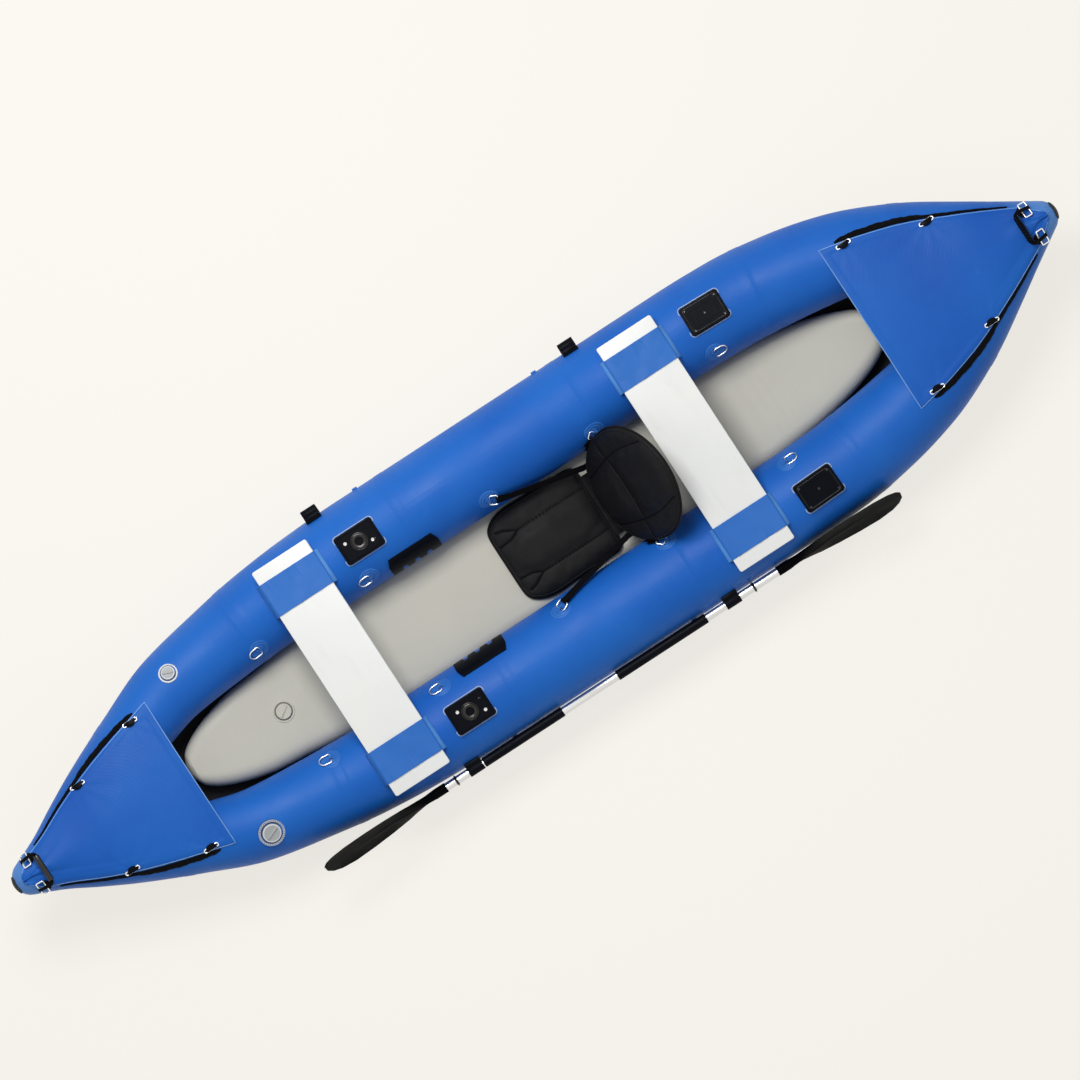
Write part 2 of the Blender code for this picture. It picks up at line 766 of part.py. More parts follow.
def deck_height(x, y):
    """Height of the taut deck's underside over a plan point: on the tube outside its crest line."""
    station, _ = tube_above(x, tube_spread(x))
    crest = on_tube(station, 0.0)
    inside = min(abs(y) / max(crest.y, 1e-4), 1.0)
    if abs(y) <= crest.y:
        return crest.z + DECK_CROWN * (1 - inside**2)
    station, angle = tube_above(x, abs(y))
    return on_tube(station, angle).z


def hem_spread(deck, x):
    """Half width of a deck at x."""
    t = min(max((x - deck["inner"]) / (deck["tip"] - deck["inner"]), 0.0), 1.0)
    first, last = deck["angles"]
    angle = radians(first + (last - first) * t ** deck["ease"])
    end = min(max(x, ROWS[0, 0]), ROWS[-1, 0])
    return tube_spread(end) + tube_radius(end) * sin(angle)


def deck_edge(deck, t):
    """Plan point of the hem: t runs from 0 at the inner corner to 1 at the tip."""
    x = deck["inner"] + (deck["tip"] - deck["inner"]) * t
    narrow = 1 - 0.75 * max(0.0, (t - 0.9) / 0.1) ** 2
    return x, hem_spread(deck, x) * narrow


def deck_sheet(name, deck):
    """The deck sheet with its raised hems, before rings and trimming to the tubes."""
    hem = HEM_WIDTH / abs(deck["tip"] - deck["inner"])
    flat = hem * 1.15
    places = [0.0, hem] + [flat + (1 - flat) * i / DECK_ROWS for i in range(DECK_ROWS + 1)]
    rings = []
    for row, t in enumerate(places):
        x, half = deck_edge(deck, t)
        band = min(HEM_WIDTH, half * 0.4)
        spreads = [half, half - band, half - band * 1.15, half * 0.5, half * 0.2]
        raised = [True, True, False, False, False] if row > 1 else [True] * 5
        on_crest = 0.9 * tube_spread(min(max(x, ROWS[0, 0]), ROWS[-1, 0]))
        top, under = [], []
        for spread, high in zip(spreads, raised):
            base = deck_height(x, spread)
            top.append(Vector((x, spread, base + DECK_THICKNESS + (HEM_HEIGHT if high else 0))))
            under.append(Vector((x, spread, base - 0.004 if spread > on_crest else base)))
        mirror = Vector((1, -1, 1))
        ring = top + [p * mirror for p in top[::-1]]
        ring += [p * mirror for p in under] + under[::-1]
        rings.append(ring)
    return loft(name, rings, BLUE)


def deck_seat(x, y, forward):
    """Matrix on a deck at (x, y): Z square to it, X as near forward as the surface allows."""
    step = 0.01
    slope_x = (deck_height(x + step, y) - deck_height(x - step, y)) / (2 * step)
    slope_y = (deck_height(x, y + step) - deck_height(x, y - step)) / (2 * step)
    normal = Vector((-slope_x, -slope_y, 1)).normalized()
    level = forward - normal * forward.dot(normal)
    return frame_at(Vector((x, y, deck_height(x, y))), level, normal)


def ring_tab(seat, top, make_ring, cover=0.0):
    """A half-round tab with its ring; the ring lies on top of the tab or under its cover."""
    turns = [pi / 2 + pi * i / 8 for i in range(9)]
    outline = [(DECK_TAB_RADIUS * cos(t) * 0.8, DECK_TAB_RADIUS * sin(t)) for t in turns]
    outline = [(DECK_TAB_FRONT, DECK_TAB_RADIUS), *outline, (DECK_TAB_FRONT, -DECK_TAB_RADIUS)]
    tab = prism("tab", outline, -DECK_THICKNESS, top + cover, seat, BLACK_WEB)
    raised = seat @ Matrix.Translation((0, 0, top + 0.3 * RING_WIRE))
    ring = make_ring("ring", raised, DECK_RING_WIDTH, DECK_RING_DEPTH, DECK_RING_CORNER)
    return combine(tab, ring, "UNION")


def handle_ring_seat(handle, side):
    """Seat of a handle's ring near the nose, its bow towards the nose."""
    x, y = handle["ring"]
    return deck_seat(x, side * y, Vector((1 if x > 0 else -1, 0, 0)))


def handle_tab_top():
    return DECK_THICKNESS + HEM_HEIGHT + DECK_TAB_HEIGHT + HANDLE_RING_LIFT


def make_deck(name, deck, handle):
    """A spray deck with its ring tabs and D-rings."""
    body = deck_sheet(name, deck)
    top = DECK_THICKNESS + HEM_HEIGHT + DECK_TAB_HEIGHT
    for side in (1, -1):
        for share in deck["rings"]:
            x = deck["inner"] + (deck["tip"] - deck["inner"]) * share
            y = side * (hem_spread(deck, x) - DECK_RING_INSET)
            place = deck_seat(x, y, Vector((0, side, 0)))
            combine(body, ring_tab(place, top, d_ring, 2 * RING_WIRE), "UNION")
        seat = handle_ring_seat(handle, side)
        combine(body, ring_tab(seat, handle_tab_top(), oblong_ring), "UNION")
    for side in (1, -1):
        clear_of_tube(body, side)
    return soften(body)


def make_deck_lines(name, deck):
    """The black line along the outside of each hem, lying on the tube."""
    count = 16
    points, ups, widths = [], [], []
    for i in range(count + 1):
        t = 0.08 + 0.78 * i / count
        x, half = deck_edge(deck, t)
        x2, half2 = deck_edge(deck, t + 0.01)
        across = Vector((-(half2 - half), x2 - x, 0)).normalized()
        across = across if across.y > 0 else -across
        swell = 0.35 + 0.65 * sin(pi * (1 - i / count) ** 0.7) ** 0.6
        width = LINE_WIDTH * swell
        place = Vector((x, half, 0)) + across * (width / 2 + LINE_CLEARANCE)
        station, angle = tube_above(place.x, place.y)
        centre, _, out, up, radius = tube_frame(station)
        normal = up * cos(angle) + out * sin(angle)
        points.append(centre + normal * radius)
        ups.append(normal)
        widths.append(width)
    rings = []
    for i, point in enumerate(points):
        along = (points[min(i + 1, count)] - points[max(i - 1, 0)]).normalized()
        side = along.cross(ups[i])
        half = widths[i] / 2
        section = [(-half, -0.003), (half, -0.003), (half, LINE_THICKNESS * 0.5),
                   (half * 0.5, LINE_THICKNESS), (-half * 0.5, LINE_THICKNESS),
                   (-half, LINE_THICKNESS * 0.5)]
        rings.append([point + side * a + ups[i] * b for a, b in section])
    body = loft(name + "_line_port", rings, BLACK_WEB)
    clear_of_tube(body)
    soften(body)
    mirrored(body, name + "_line_starboard")


def make_bench(name, x):
    """A bench board and the two sleeves that hold its ends on the tubes."""
    rest = max(on_tube(x + d, 0).z for d in (-BENCH_WIDTH / 2, 0, BENCH_WIDTH / 2)) + GAP
    level = Matrix.Translation((x, 0, 0))
    outline = rounded(BENCH_WIDTH, BENCH_LENGTH, BENCH_CORNER)
    board = prism(f"{name}_bench", outline, rest, rest + BENCH_THICKNESS, level, WHITE)
    soften(board)
    wall = SLEEVE_CLEARANCE + SLEEVE_WALL
    middle = Matrix.Translation((x, (SLEEVE_INNER + SLEEVE_OUTER) / 2, 0))
    long = SLEEVE_OUTER - SLEEVE_INNER
    cover = rectangle(BENCH_WIDTH + 2 * wall, long)
    low = rest - 0.04
    sleeve = prism(f"{name}_sleeve_port", cover, low, rest + BENCH_THICKNESS + wall, middle, BLUE)
    flange = rectangle(BENCH_WIDTH + 2 * wall + 2 * SLEEVE_FLANGE, long)
    feet = prism("flange", flange, low, rest + 0.02, middle, BLUE)
    combine(feet, tube_body("layer", lift=SLEEVE_WALL), "INTERSECT")
    combine(sleeve, feet, "UNION")
    slot = rectangle(BENCH_WIDTH + 2 * SLEEVE_CLEARANCE, 2 * long)
    high = rest + BENCH_THICKNESS + SLEEVE_CLEARANCE
    combine(sleeve, prism("slot", slot, rest - 0.06, high, middle, BLUE), "DIFFERENCE")
    clear_of_tube(sleeve)
    soften(sleeve)
    mirrored(sleeve, f"{name}_sleeve_starboard")


def rectangle(length, width):
    x, y = length / 2, width / 2
    return [(-x, -y), (x, -y), (x, y), (-x, y)]


def make_plates():
    """Accessory plates: the bow pair with a socket, the stern pair with a shallow tray."""
    for name, x, y in PLATE_PLACES:
        seat = tube_seat(x, y, 1)
        body = prism(f"{name}_plate_port", rounded(PLATE_LENGTH, PLATE_WIDTH, PLATE_CORNER),
                     -0.012, PLATE_HEIGHT, seat, BLACK_PLASTIC)
        if name == "bow":
            hub = turned("hub", [(SOCKET_RADIUS + 0.003, 0), (SOCKET_RADIUS, PLATE_HEIGHT +
                         SOCKET_HEIGHT)], seat, BLACK_PLASTIC, 20)
            combine(body, hub, "UNION")
            bore = turned("bore", [(SOCKET_BORE, PLATE_HEIGHT - 0.004), (SOCKET_BORE, 0.05)], seat,
                          BLACK_PLASTIC, 16)
            combine(body, bore, "DIFFERENCE")
        else:
            tray = rounded(PLATE_LENGTH - 2 * TRAY_MARGIN, PLATE_WIDTH - 2 * TRAY_MARGIN, 0.004)
            tool = prism("tray", tray, PLATE_HEIGHT - TRAY_DEPTH, 0.05, seat, BLACK_PLASTIC)
            combine(body, tool, "DIFFERENCE")
        clear_of_tube(body)
        soften(body)
        mirrored(body, f"{name}_plate_starboard")


def make_racks():
    """Notched strips on the inner shoulders of the tubes, where a foot brace hooks in."""
    inner, outer = RACK_EDGES
    half = RACK_LENGTH / 2
    width, depth = RACK_NOTCH
    outline = [(half, inner), (half - RACK_SLOPE, outer), (RACK_SLOPE - half, outer)]
    outline.append((-half, inner))
    pitch = RACK_LENGTH / (RACK_NOTCHES + 1)
    for i in range(RACK_NOTCHES):
        middle = -half + pitch * (i + 1)
        outline += [(middle - width / 2, inner), (middle - width / 4, inner + depth)]
        outline += [(middle + width / 4, inner + depth), (middle + width / 2, inner)]
    level = Matrix.Translation((RACK_PLACE, 0, 0))
    body = prism("foot_rack_port", outline, 0.16, 0.34, level, BLACK_PLASTIC)
    combine(body, tube_body("layer", lift=RACK_THICKNESS), "INTERSECT")
    clear_of_tube(body)
    soften(body)
    mirrored(body, "foot_rack_starboard")


def cap_outline(radius, height):
    return [(radius, 0), (radius, height * 0.6), (radius * 0.9, height)]


def make_valve(name, radius, seat, sink):
    """A valve body let into the surface and the cap that twists on it."""
    body = turned(f"{name}_body", [(radius, -sink), (radius, VALVE_HEIGHT * 0.5),
                                   (radius * 0.94, VALVE_HEIGHT)], seat, VALVE_GREY)
    cap_seat = seat @ Matrix.Translation((0, 0, VALVE_HEIGHT + GAP))
    cap = turned(f"{name}_cap", cap_outline(radius * 0.72, CAP_HEIGHT), cap_seat, VALVE_GREY)
    ridge_seat = cap_seat @ Matrix.Rotation(radians(35), 4, "Z")
    ridge = prism("ridge", rounded(radius * 1.15, 0.008, 0.003), CAP_HEIGHT / 2,
                  CAP_HEIGHT + CAP_RIDGE, ridge_seat, VALVE_GREY)
    combine(cap, ridge, "UNION")
    soften(cap)
    move_origin(cap, cap_seat.translation)
    return body


def make_valves():
    x = BOW_DECK["inner"] - TUBE_VALVE_SETBACK
    y = tube_spread(x) + TUBE_VALVE_OFFSET
    for side, radius in ((1, PORT_VALVE_RADIUS), (-1, STARBOARD_VALVE_RADIUS)):
        body = make_valve(f"valve_{side_name(side)}", radius, tube_seat(x, y, side), 0.012)
        clear_of_tube(body, side)
        soften(body)
    step = 0.02
    slope = (floor_top(FLOOR_VALVE_PLACE + step) - floor_top(FLOOR_VALVE_PLACE - step)) / (2 * step)
    place = Vector((FLOOR_VALVE_PLACE, 0, floor_top(FLOOR_VALVE_PLACE) + GAP))
    seat = frame_at(place, Vector((1, 0, slope)), Vector((-slope, 0, 1)))
    soften(make_valve("floor_valve", FLOOR_VALVE_RADIUS, seat, 0))


def make_tube_rings():
    """The free D-rings, which swing on their bars, and the oblong ones held by the seat straps."""
    for name, seat in free_ring_seats():
        raised = seat @ Matrix.Translation((0, 0, ring_height()))
        ring = d_ring(f"{name}_port", raised, RING_WIDTH, RING_DEPTH, RING_CORNER)
        soften(ring, 60)
        twin = mirrored(ring, f"{name}_starboard")
        move_origin(ring, raised.translation)
        move_origin(twin, raised.translation * Vector((1, -1, 1)))
    for name, seat in strap_ring_seats():
        ring = oblong_ring(f"{name}_port", pulled_ring(seat), STRAP_RING_WIDTH, STRAP_RING_DEPTH,
                           RING_CORNER)
        mirrored(soften(ring, 60), f"{name}_starboard")


def seat_outline(t):
    """Half width of the seat base, t from 0 at the front edge to 1 at the hinge."""
    front = min(t / 0.30, 1.0)
    return SEAT_HALF_WIDTH * (0.62 + 0.38 * sqrt(1 - (1 - front) ** 2)) * (1 - 0.06 * t)


def channel_dip(distance, width=0.008):
    """Depth of a sewn channel at a distance from its line."""
    return CHANNEL_DEPTH * max(0.0, 1 - abs(distance) / width)


def make_seat_base():
    """The padded base: crowned, drawn in at its edges, with two sewn channels lengthwise."""
    places = [0.0, 0.03, 0.10, 0.22, 0.40, 0.60, 0.80, 0.95, 1.0]
    lift = floor_top(0) + GAP
    rings = []
    for t in places:
        x = SEAT_FRONT + (SEAT_BACK_EDGE - SEAT_FRONT) * t
        half = seat_outline(t)
        edge = min(1.0, 0.35 + 0.65 * sqrt(min(t / 0.10, 1)), 0.55 + 0.45 * sqrt(min((1 - t) / 0.06, 1)))
        line = SEAT_CHANNEL * half / SEAT_HALF_WIDTH
        ys = [half, half * 0.93, half * 0.75, line + 0.008, line, line - 0.008, line * 0.5, 0.0]
        top = []
        for y in ys:
            swell = sqrt(max(0.0, 1 - (y / (half * 1.001)) ** 8))
            crown = SEAT_CROWN * (1 - (y / half) ** 2)
            height = (SEAT_THICKNESS * (0.45 + 0.55 * swell) + crown) * edge
            top.append(Vector((x, y, lift + height - channel_dip(y - line) * edge)))
        mirror = Vector((1, -1, 1))
        bottom = [Vector((x, half * 0.93, lift)), Vector((x, half * 0.5, lift))]
        ring = top + [p * mirror for p in top[-2::-1]]
        ring += [p * mirror for p in bottom] + bottom[::-1]
        rings.append(ring)
    soften(loft("seat_base", rings, BLACK_PAD), 60)


def back_frame():
    """Matrix of the seat back: X across to port, Y up its middle, Z towards the bow."""
    x, z = BACK_HINGE
    up = Vector((-sin(BACK_RECLINE), 0, cos(BACK_RECLINE)))
    front = Vector((cos(BACK_RECLINE), 0, sin(BACK_RECLINE)))
    across = up.cross(front)
    turned_up = Matrix((across, up, front)).transposed().to_4x4()
    turned_up.translation = Vector((x, 0, z))
    return turned_up


def back_half_width(s):
    """Half width of the oval back at height s along it."""
    middle = BACK_HEIGHT * 0.54
    if s < middle:
        t, power = (middle - s) / middle, 2.2
    else:
        t, power = (s - middle) / (BACK_HEIGHT - middle), 2.0
    return BACK_HALF_WIDTH * max(0.0, 1 - min(t, 1.0) ** power) ** (1 / power)


def make_seat_back():
    """The padded oval back: crowned front and rear, with a sewn line across and two up it."""
    frame = back_frame()
    cross = BACK_HEIGHT * 0.47
    shares = [0.012, 0.06, 0.14, 0.26, 0.38, cross / BACK_HEIGHT - 0.02, cross / BACK_HEIGHT,
              cross / BACK_HEIGHT + 0.02, 0.60, 0.74, 0.86, 0.95, 0.99]
    rings = []
    for share in shares:
        s = BACK_HEIGHT * share
        half = back_half_width(s)
        line = half * (0.44 + 0.16 * abs(share - 0.47) / 0.5)
        fold = min(share, 1 - share) / 0.14
        depth = BACK_THICKNESS / 2 * min(1.0, 0.35 + 0.65 * sqrt(min(fold, 1.0)))
        near = min(0.008, half * 0.1)
        ys = [half, half * 0.93, half * 0.78, line + near, line, line - near, line * 0.5, 0.0]
        front, rear = [], []
        for y in ys:
            swell = sqrt(max(0.0, 1 - (y / (half * 1.001)) ** 6))
            crown = BACK_CROWN * (1 - (y / half) ** 2)
            reach = (depth + crown) * (0.25 + 0.75 * swell)
            dip = max(channel_dip(y - line), channel_dip(s - cross))
            front.append(Vector((y, s, reach - dip)))
        for y in (half, half * 0.8, half * 0.3):
            swell = sqrt(max(0.0, 1 - (y / (half * 1.001)) ** 6))
            rear.append(Vector((y, s, -depth * (0.25 + 0.75 * swell))))
        mirror = Vector((-1, 1, 1))
        ring = front + [p * mirror for p in front[-2::-1]]
        ring += [p * mirror for p in rear] + rear[::-1]
        rings.append([frame @ point for point in ring])
    body = soften(loft("seat_back", rings, BLACK_PAD), 60)
    move_origin(body, frame.translation)


def band(name, points, ups, width, thickness, material):
    """A flat strap along points; ups are its face normals."""
    half, thin = width / 2, thickness / 2
    section = [(-half, -thin), (half, -thin), (half, thin), (-half, thin)]
    return sweep(name, points, ups, section, material)


def wrap(matrix, wire, radius, turns):
    """Points and face normals of webbing folded round a ring's wire from inside the ring."""
    turned_up = matrix.to_3x3()
    spokes = [turned_up @ Vector((-cos(radians(turn)), 0, sin(radians(turn)))) for turn in turns]
    return [matrix @ wire + spoke * radius for spoke in spokes], spokes


def make_seat_straps():
    """Webbing folded round its ring and sewn along the edge of the seat back."""
    seats = dict(strap_ring_seats())
    for place in SEAT_STRAP_SHARES:
        matrix = pulled_ring(seats[f"seat_{place}_ring"])
        radius = RING_WIRE + GAP + STRAP_THICKNESS / 2
        wire = Vector((STRAP_RING_DEPTH, 0, 0))
        end, side_face = strap_end(place)
        aim = matrix.inverted() @ end - wire
        last = 90 - degrees(atan2(aim.z, aim.x))
        turns = [-140 + (last + 140) * i / 8 for i in range(9)]
        points, ups = wrap(matrix, wire, radius, turns)
        top, normal = points[-1], ups[-1]
        run = end - top
        run = (run - side_face * run.dot(side_face)).normalized() * STRAP_WIDTH / 2
        start, stop = end - run, end + run
        for t in (0.1, 0.35, 0.65, 0.9):
            points.append(top.lerp(start, t))
            ups.append(normal.lerp(side_face, t).normalized())
        points += [start, stop]
        ups += [side_face, side_face]
        strap = band(f"seat_{place}_strap_port", points, ups, STRAP_WIDTH, STRAP_THICKNESS,
                     BLACK_WEB)
        mirrored(soften(strap), f"seat_{place}_strap_starboard")


def bar_frame(handle):
    """Matrix at the middle of a handle's grip, its Z across the boat."""
    bar = handle["bar"]
    high = deck_height(bar, 0.0) + DECK_THICKNESS + GRIP_RADIUS + GRIP_RISE
    return frame_at(Vector((bar, 0, high)), Vector((0, 0, 1)), Vector((0, 1, 0)))


def handle_path(handle):
    """Webbing from one ring of a handle through its grip to the other ring."""
    way = 1 if handle["bar"] > 0 else -1
    middle = bar_frame(handle).translation
    radius = RING_WIRE + GAP + HANDLE_WEB[1] / 2
    halves = []
    for side in (1, -1):
        seat = handle_ring_seat(handle, side)
        seat = seat @ Matrix.Translation((0, 0, handle_tab_top() + 0.3 * RING_WIRE))
        corner = middle + Vector((way * 0.012, side * HANDLE_HALF_WIDTH, 0))
        wire = Vector((DECK_RING_DEPTH, 0, 0))
        points, ups = wrap(seat, wire, radius, range(270, 89, -30))
        up = Vector((0, 0, 1))
        points.append(points[-1].lerp(corner, 0.6))
        ups.append((ups[-1] + up).normalized())
        points += [corner, middle + Vector((0, side * (HANDLE_HALF_WIDTH - 0.006), 0))]
        ups += [up, up]
        halves.append((points, ups))
    (first, first_ups), (second, second_ups) = halves
    return first + second[::-1], first_ups + second_ups[::-1]


def make_handle(name, handle, ribs):
    """A carry handle: webbing from two deck rings and a grip moulded round its middle."""
    points, ups = handle_path(handle)
    width, thickness = HANDLE_WEB
    soften(band(f"{name}_strap", points, ups, width, thickness, BLACK_WEB))
    low, high = -GRIP_HALF_LENGTH, GRIP_HALF_LENGTH
    profile = [(GRIP_RADIUS * 0.8, low), (GRIP_RADIUS, low + 0.002)]
    pitch = (high - low - 0.004) / ribs if ribs else 0
    for i in range(ribs):
        start = low + 0.002 + pitch * i
        profile += [(GRIP_RADIUS, start + pitch * 0.5), (GRIP_RADIUS * 0.82, start + pitch * 0.75)]
        profile.append((GRIP_RADIUS, start + pitch))
    if not ribs:
        profile.append((GRIP_RADIUS, high - 0.002))
    profile.append((GRIP_RADIUS * 0.8, high))
    grip = turned(f"{name}_grip", profile, bar_frame(handle), BLACK_PLASTIC, 12)
    slot = rectangle(thickness + 2 * GAP, width + 2 * GAP)
    combine(grip, prism("slot", slot, 2 * low, 2 * high, bar_frame(handle), BLACK_WEB),
            "DIFFERENCE")
    hinge = handle_ring_seat(handle, 1) @ Vector((DECK_RING_DEPTH, 0, handle_tab_top()))
    move_origin(soften(grip), Vector((hinge.x, 0, hinge.z)))


def along_shaft(x):
    """Matrix on the shaft's line with Z towards the bow."""
    place = shaft_axis()
    place.x = x
    return frame_at(place, Vector((0, 0, 1)), Vector((1, 0, 0)))


def make_paddle():
    """The two-bladed paddle on its holders, blades nearly edge on."""
    bow_end, stern_end = SHAFT_ENDS
    line = along_shaft(0.0)
    soften(turned("paddle_shaft", [(SHAFT_RADIUS, stern_end), (SHAFT_RADIUS, bow_end)], line,
                  SILVER, 20))
    bore = SHAFT_RADIUS + GAP
    for number, (start, end) in enumerate(GRIPS):
        outer = bore + GRIP_SLEEVE
        profile = [(bore, start), (outer - 0.001, start), (outer, start + 0.003)]
        profile += [(outer, end - 0.003), (outer - 0.001, end), (bore, end)]
        name = ("bow_hand_grip", "stern_hand_grip")[number]
        soften(turned(name, profile, line, BLACK_PLASTIC, 20, closed=True))
    for number, middle in enumerate(DRIP_RINGS):
        half = DRIP_WIDTH / 2
        profile = [(bore, middle - half), (DRIP_RADIUS, middle - 0.001), (DRIP_RADIUS, middle + 0.001),
                   (bore, middle + half)]
        name = ("bow_drip_ring", "stern_drip_ring")[number]
        soften(turned(name, profile, line, BLACK_PLASTIC, 20, closed=True))
    for name, end, way in (("bow_blade", bow_end, 1), ("stern_blade", stern_end, -1)):
        make_blade(name, end, way)


def make_blade(name, end, way):
    """A spooned blade with a socket over the shaft's end."""
    axis = shaft_axis()
    shares = [0.0, 0.09, 0.14, 0.22, 0.34, 0.48, 0.64, 0.80, 0.91, 0.97, 1.0]
    widths = [0.0, 0.0, 0.10, 0.45, 0.72, 0.88, 0.98, 1.0, 0.86, 0.62, 0.30]
    rings = []
    for share, width in zip(shares, widths):
        x = end + way * (BLADE_LENGTH * share - BLADE_SOCKET)
        half = max(NECK_RADIUS, BLADE_HALF_WIDTH * width)
        thick = NECK_RADIUS if width < 0.05 else max(0.0035, NECK_RADIUS * (1 - 2.2 * (share - 0.09)))
        rim = thick if width < 0.05 else max(0.0018, thick * (0.75 - 1.2 * (share - 0.09)))
        bend = BLADE_SPOON * max(0.0, share - 0.12) ** 2 / 0.77
        turns = [2 * pi * i / 12 for i in range(12)]
        ring = []
        for turn in turns:
            across = half * cos(turn)
            blend = abs(cos(turn)) ** 2
            deep = (thick * (1 - blend) + rim * blend) * sin(turn)
            y = bend + BLADE_HOLLOW * (across / BLADE_HALF_WIDTH) ** 2 + deep
            ring.append(axis + Vector((0, y * cos(BLADE_TILT) - across * sin(BLADE_TILT),
                                       y * sin(BLADE_TILT) + across * cos(BLADE_TILT))))
            ring[-1].x = x
        rings.append(ring)
    body = loft(name, rings, BLACK_PLASTIC)
    start, stop = sorted((end - way * 0.2, end + way * (GAP + 0.0002)))
    bore = turned("socket", [(SHAFT_RADIUS + GAP, start), (SHAFT_RADIUS + GAP, stop)],
                  along_shaft(0.0), BLACK_PLASTIC, 20)
    combine(body, bore, "DIFFERENCE")
    soften(body, 45)


def make_flaps():
    for name, x in HOLDER_PLACES:
        port = flap(f"{name}_flap_port", x)
        twin = mirrored(port, f"{name}_flap_starboard")
        move_origin(twin, port.location * Vector((1, -1, 1)))


make_tubes()
make_bottom_skin()
make_floor()
make_deck("bow_deck", BOW_DECK, BOW_HANDLE)
make_deck("stern_deck", STERN_DECK, STERN_HANDLE)
make_deck_lines("bow_deck", BOW_DECK)
make_deck_lines("stern_deck", STERN_DECK)
for bench_name, bench_place in BENCH_PLACES:
    make_bench(bench_name, bench_place)
make_plates()
make_racks()
make_valves()
make_tube_rings()
make_seat_base()
make_seat_back()
make_seat_straps()
make_handle("bow_handle", BOW_HANDLE, 0)
make_handle("stern_handle", STERN_HANDLE, 8)
make_paddle()
make_flaps()
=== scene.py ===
# %% [markdown]
# # Inflatable river kayak
# The boat lies on a pale floor and is seen from straight above, lying across the picture.
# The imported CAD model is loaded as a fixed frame. It says where everything is, and each piece
# made here takes the place of a plain CAD solid, with the cloth, seams and finish of the real one.

# %% The fixed frame
from contextlib import contextmanager
from math import atan2, cos, degrees, pi, radians, sin, sqrt

import bpy
import numpy as np
from mathutils import Matrix, Vector
from mathutils.bvhtree import BVHTree
from mathutils.kdtree import KDTree


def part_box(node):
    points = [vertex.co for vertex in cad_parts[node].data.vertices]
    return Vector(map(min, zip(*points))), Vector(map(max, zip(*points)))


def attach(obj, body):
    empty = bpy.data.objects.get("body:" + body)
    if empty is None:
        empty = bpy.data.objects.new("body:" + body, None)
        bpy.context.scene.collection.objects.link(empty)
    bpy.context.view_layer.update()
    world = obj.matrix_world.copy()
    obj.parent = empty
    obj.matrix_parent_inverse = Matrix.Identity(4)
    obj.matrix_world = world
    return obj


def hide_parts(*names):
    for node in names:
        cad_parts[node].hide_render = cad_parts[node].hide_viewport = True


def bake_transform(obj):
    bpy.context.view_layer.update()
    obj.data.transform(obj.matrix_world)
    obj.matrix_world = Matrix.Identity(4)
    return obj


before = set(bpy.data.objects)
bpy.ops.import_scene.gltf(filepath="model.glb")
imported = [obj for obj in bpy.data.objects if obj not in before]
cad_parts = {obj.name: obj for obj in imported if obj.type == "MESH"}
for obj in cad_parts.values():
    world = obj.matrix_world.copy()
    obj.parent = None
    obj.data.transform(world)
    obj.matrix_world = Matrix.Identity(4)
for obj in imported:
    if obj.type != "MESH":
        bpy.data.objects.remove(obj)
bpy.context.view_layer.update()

# %% [markdown]
# ## Camera
# The picture was taken from above with a long lens, so the boat shows almost no perspective.
# A camera 14 m up with a 145 mm lens does the same. It is turned about its own axis, because the
# boat lies across the picture from lower left to upper right, with its bow at the lower left.

# %% Camera
VIEW_CENTRE = Vector((-0.0261, -0.0123, 0.2))
CAMERA_HEIGHT, CAMERA_TURN = 14.0, radians(146.93)
PICTURE_PIXELS, PIXELS_PER_METRE = 1080, 310.4
SENSOR_WIDTH = 36
scene = bpy.context.scene
bpy.ops.object.camera_add(location=VIEW_CENTRE + Vector((0, 0, CAMERA_HEIGHT)),
                          rotation=(0, 0, CAMERA_TURN))
camera = bpy.context.active_object
camera.data.sensor_width = SENSOR_WIDTH
camera.data.lens = SENSOR_WIDTH * PIXELS_PER_METRE * CAMERA_HEIGHT / PICTURE_PIXELS
camera.data.clip_end = 200
scene.camera = camera
print("lens", round(camera.data.lens, 1), "mm")

# %% [markdown]
# ## Node trees
# The room, the paper and every finish are node trees. A few functions write them: each makes one
# node, sets its values or links, and returns what the next one reads. Patterns read Object
# coordinates, which are metres here, or the UV map in metres where a weave has to follow a strap.

# %% A short way to write node trees
def wire(tree, output, target):
    """Links two sockets of a node tree."""
    tree.links.new(output, target)


def look(name, colour, roughness, **sockets):
    """A Principled material. Returns it with its tree and shader."""
    material = bpy.data.materials.new(name)
    material.use_nodes = True
    tree = material.node_tree
    shader = tree.nodes["Principled BSDF"]
    shader.inputs["Base Color"].default_value = (*colour, 1.0)
    shader.inputs["Roughness"].default_value = roughness
    for key, value in sockets.items():
        shader.inputs[key.replace("_", " ")].default_value = value
    return material, tree, shader


def node(tree, kind, values=None, **choices):
    """A node with values or links on its inputs, and its menu choices set."""
    made = tree.nodes.new("ShaderNode" + kind)
    for key, value in choices.items():
        setattr(made, key, value)
    for key, value in (values or {}).items():
        if isinstance(value, bpy.types.NodeSocket):
            wire(tree, value, made.inputs[key])
        else:
            made.inputs[key].default_value = value
    return made


def calc(tree, operation, first, second=0.0):
    return node(tree, "Math", {0: first, 1: second}, operation=operation).outputs[0]


def where(tree, scale=(1, 1, 1), source="Object"):
    """Coordinates in metres, scaled."""
    coordinates = node(tree, "TexCoord").outputs[source]
    return node(tree, "Mapping", {"Vector": coordinates, "Scale": scale}).outputs["Vector"]


def noise(tree, scale, detail, stretch=(1, 1, 1), roughness=0.5):
    return node(tree, "TexNoise", {"Vector": where(tree, stretch), "Scale": scale,
                                   "Detail": detail, "Roughness": roughness}).outputs["Fac"]


def spread(tree, value, low, high, new_low=0.0, new_high=1.0):
    """Maps a value between low and high to new_low to new_high."""
    return node(tree, "MapRange", {"Value": value, "From Min": low, "From Max": high,
                                   "To Min": new_low, "To Max": new_high}).outputs["Result"]


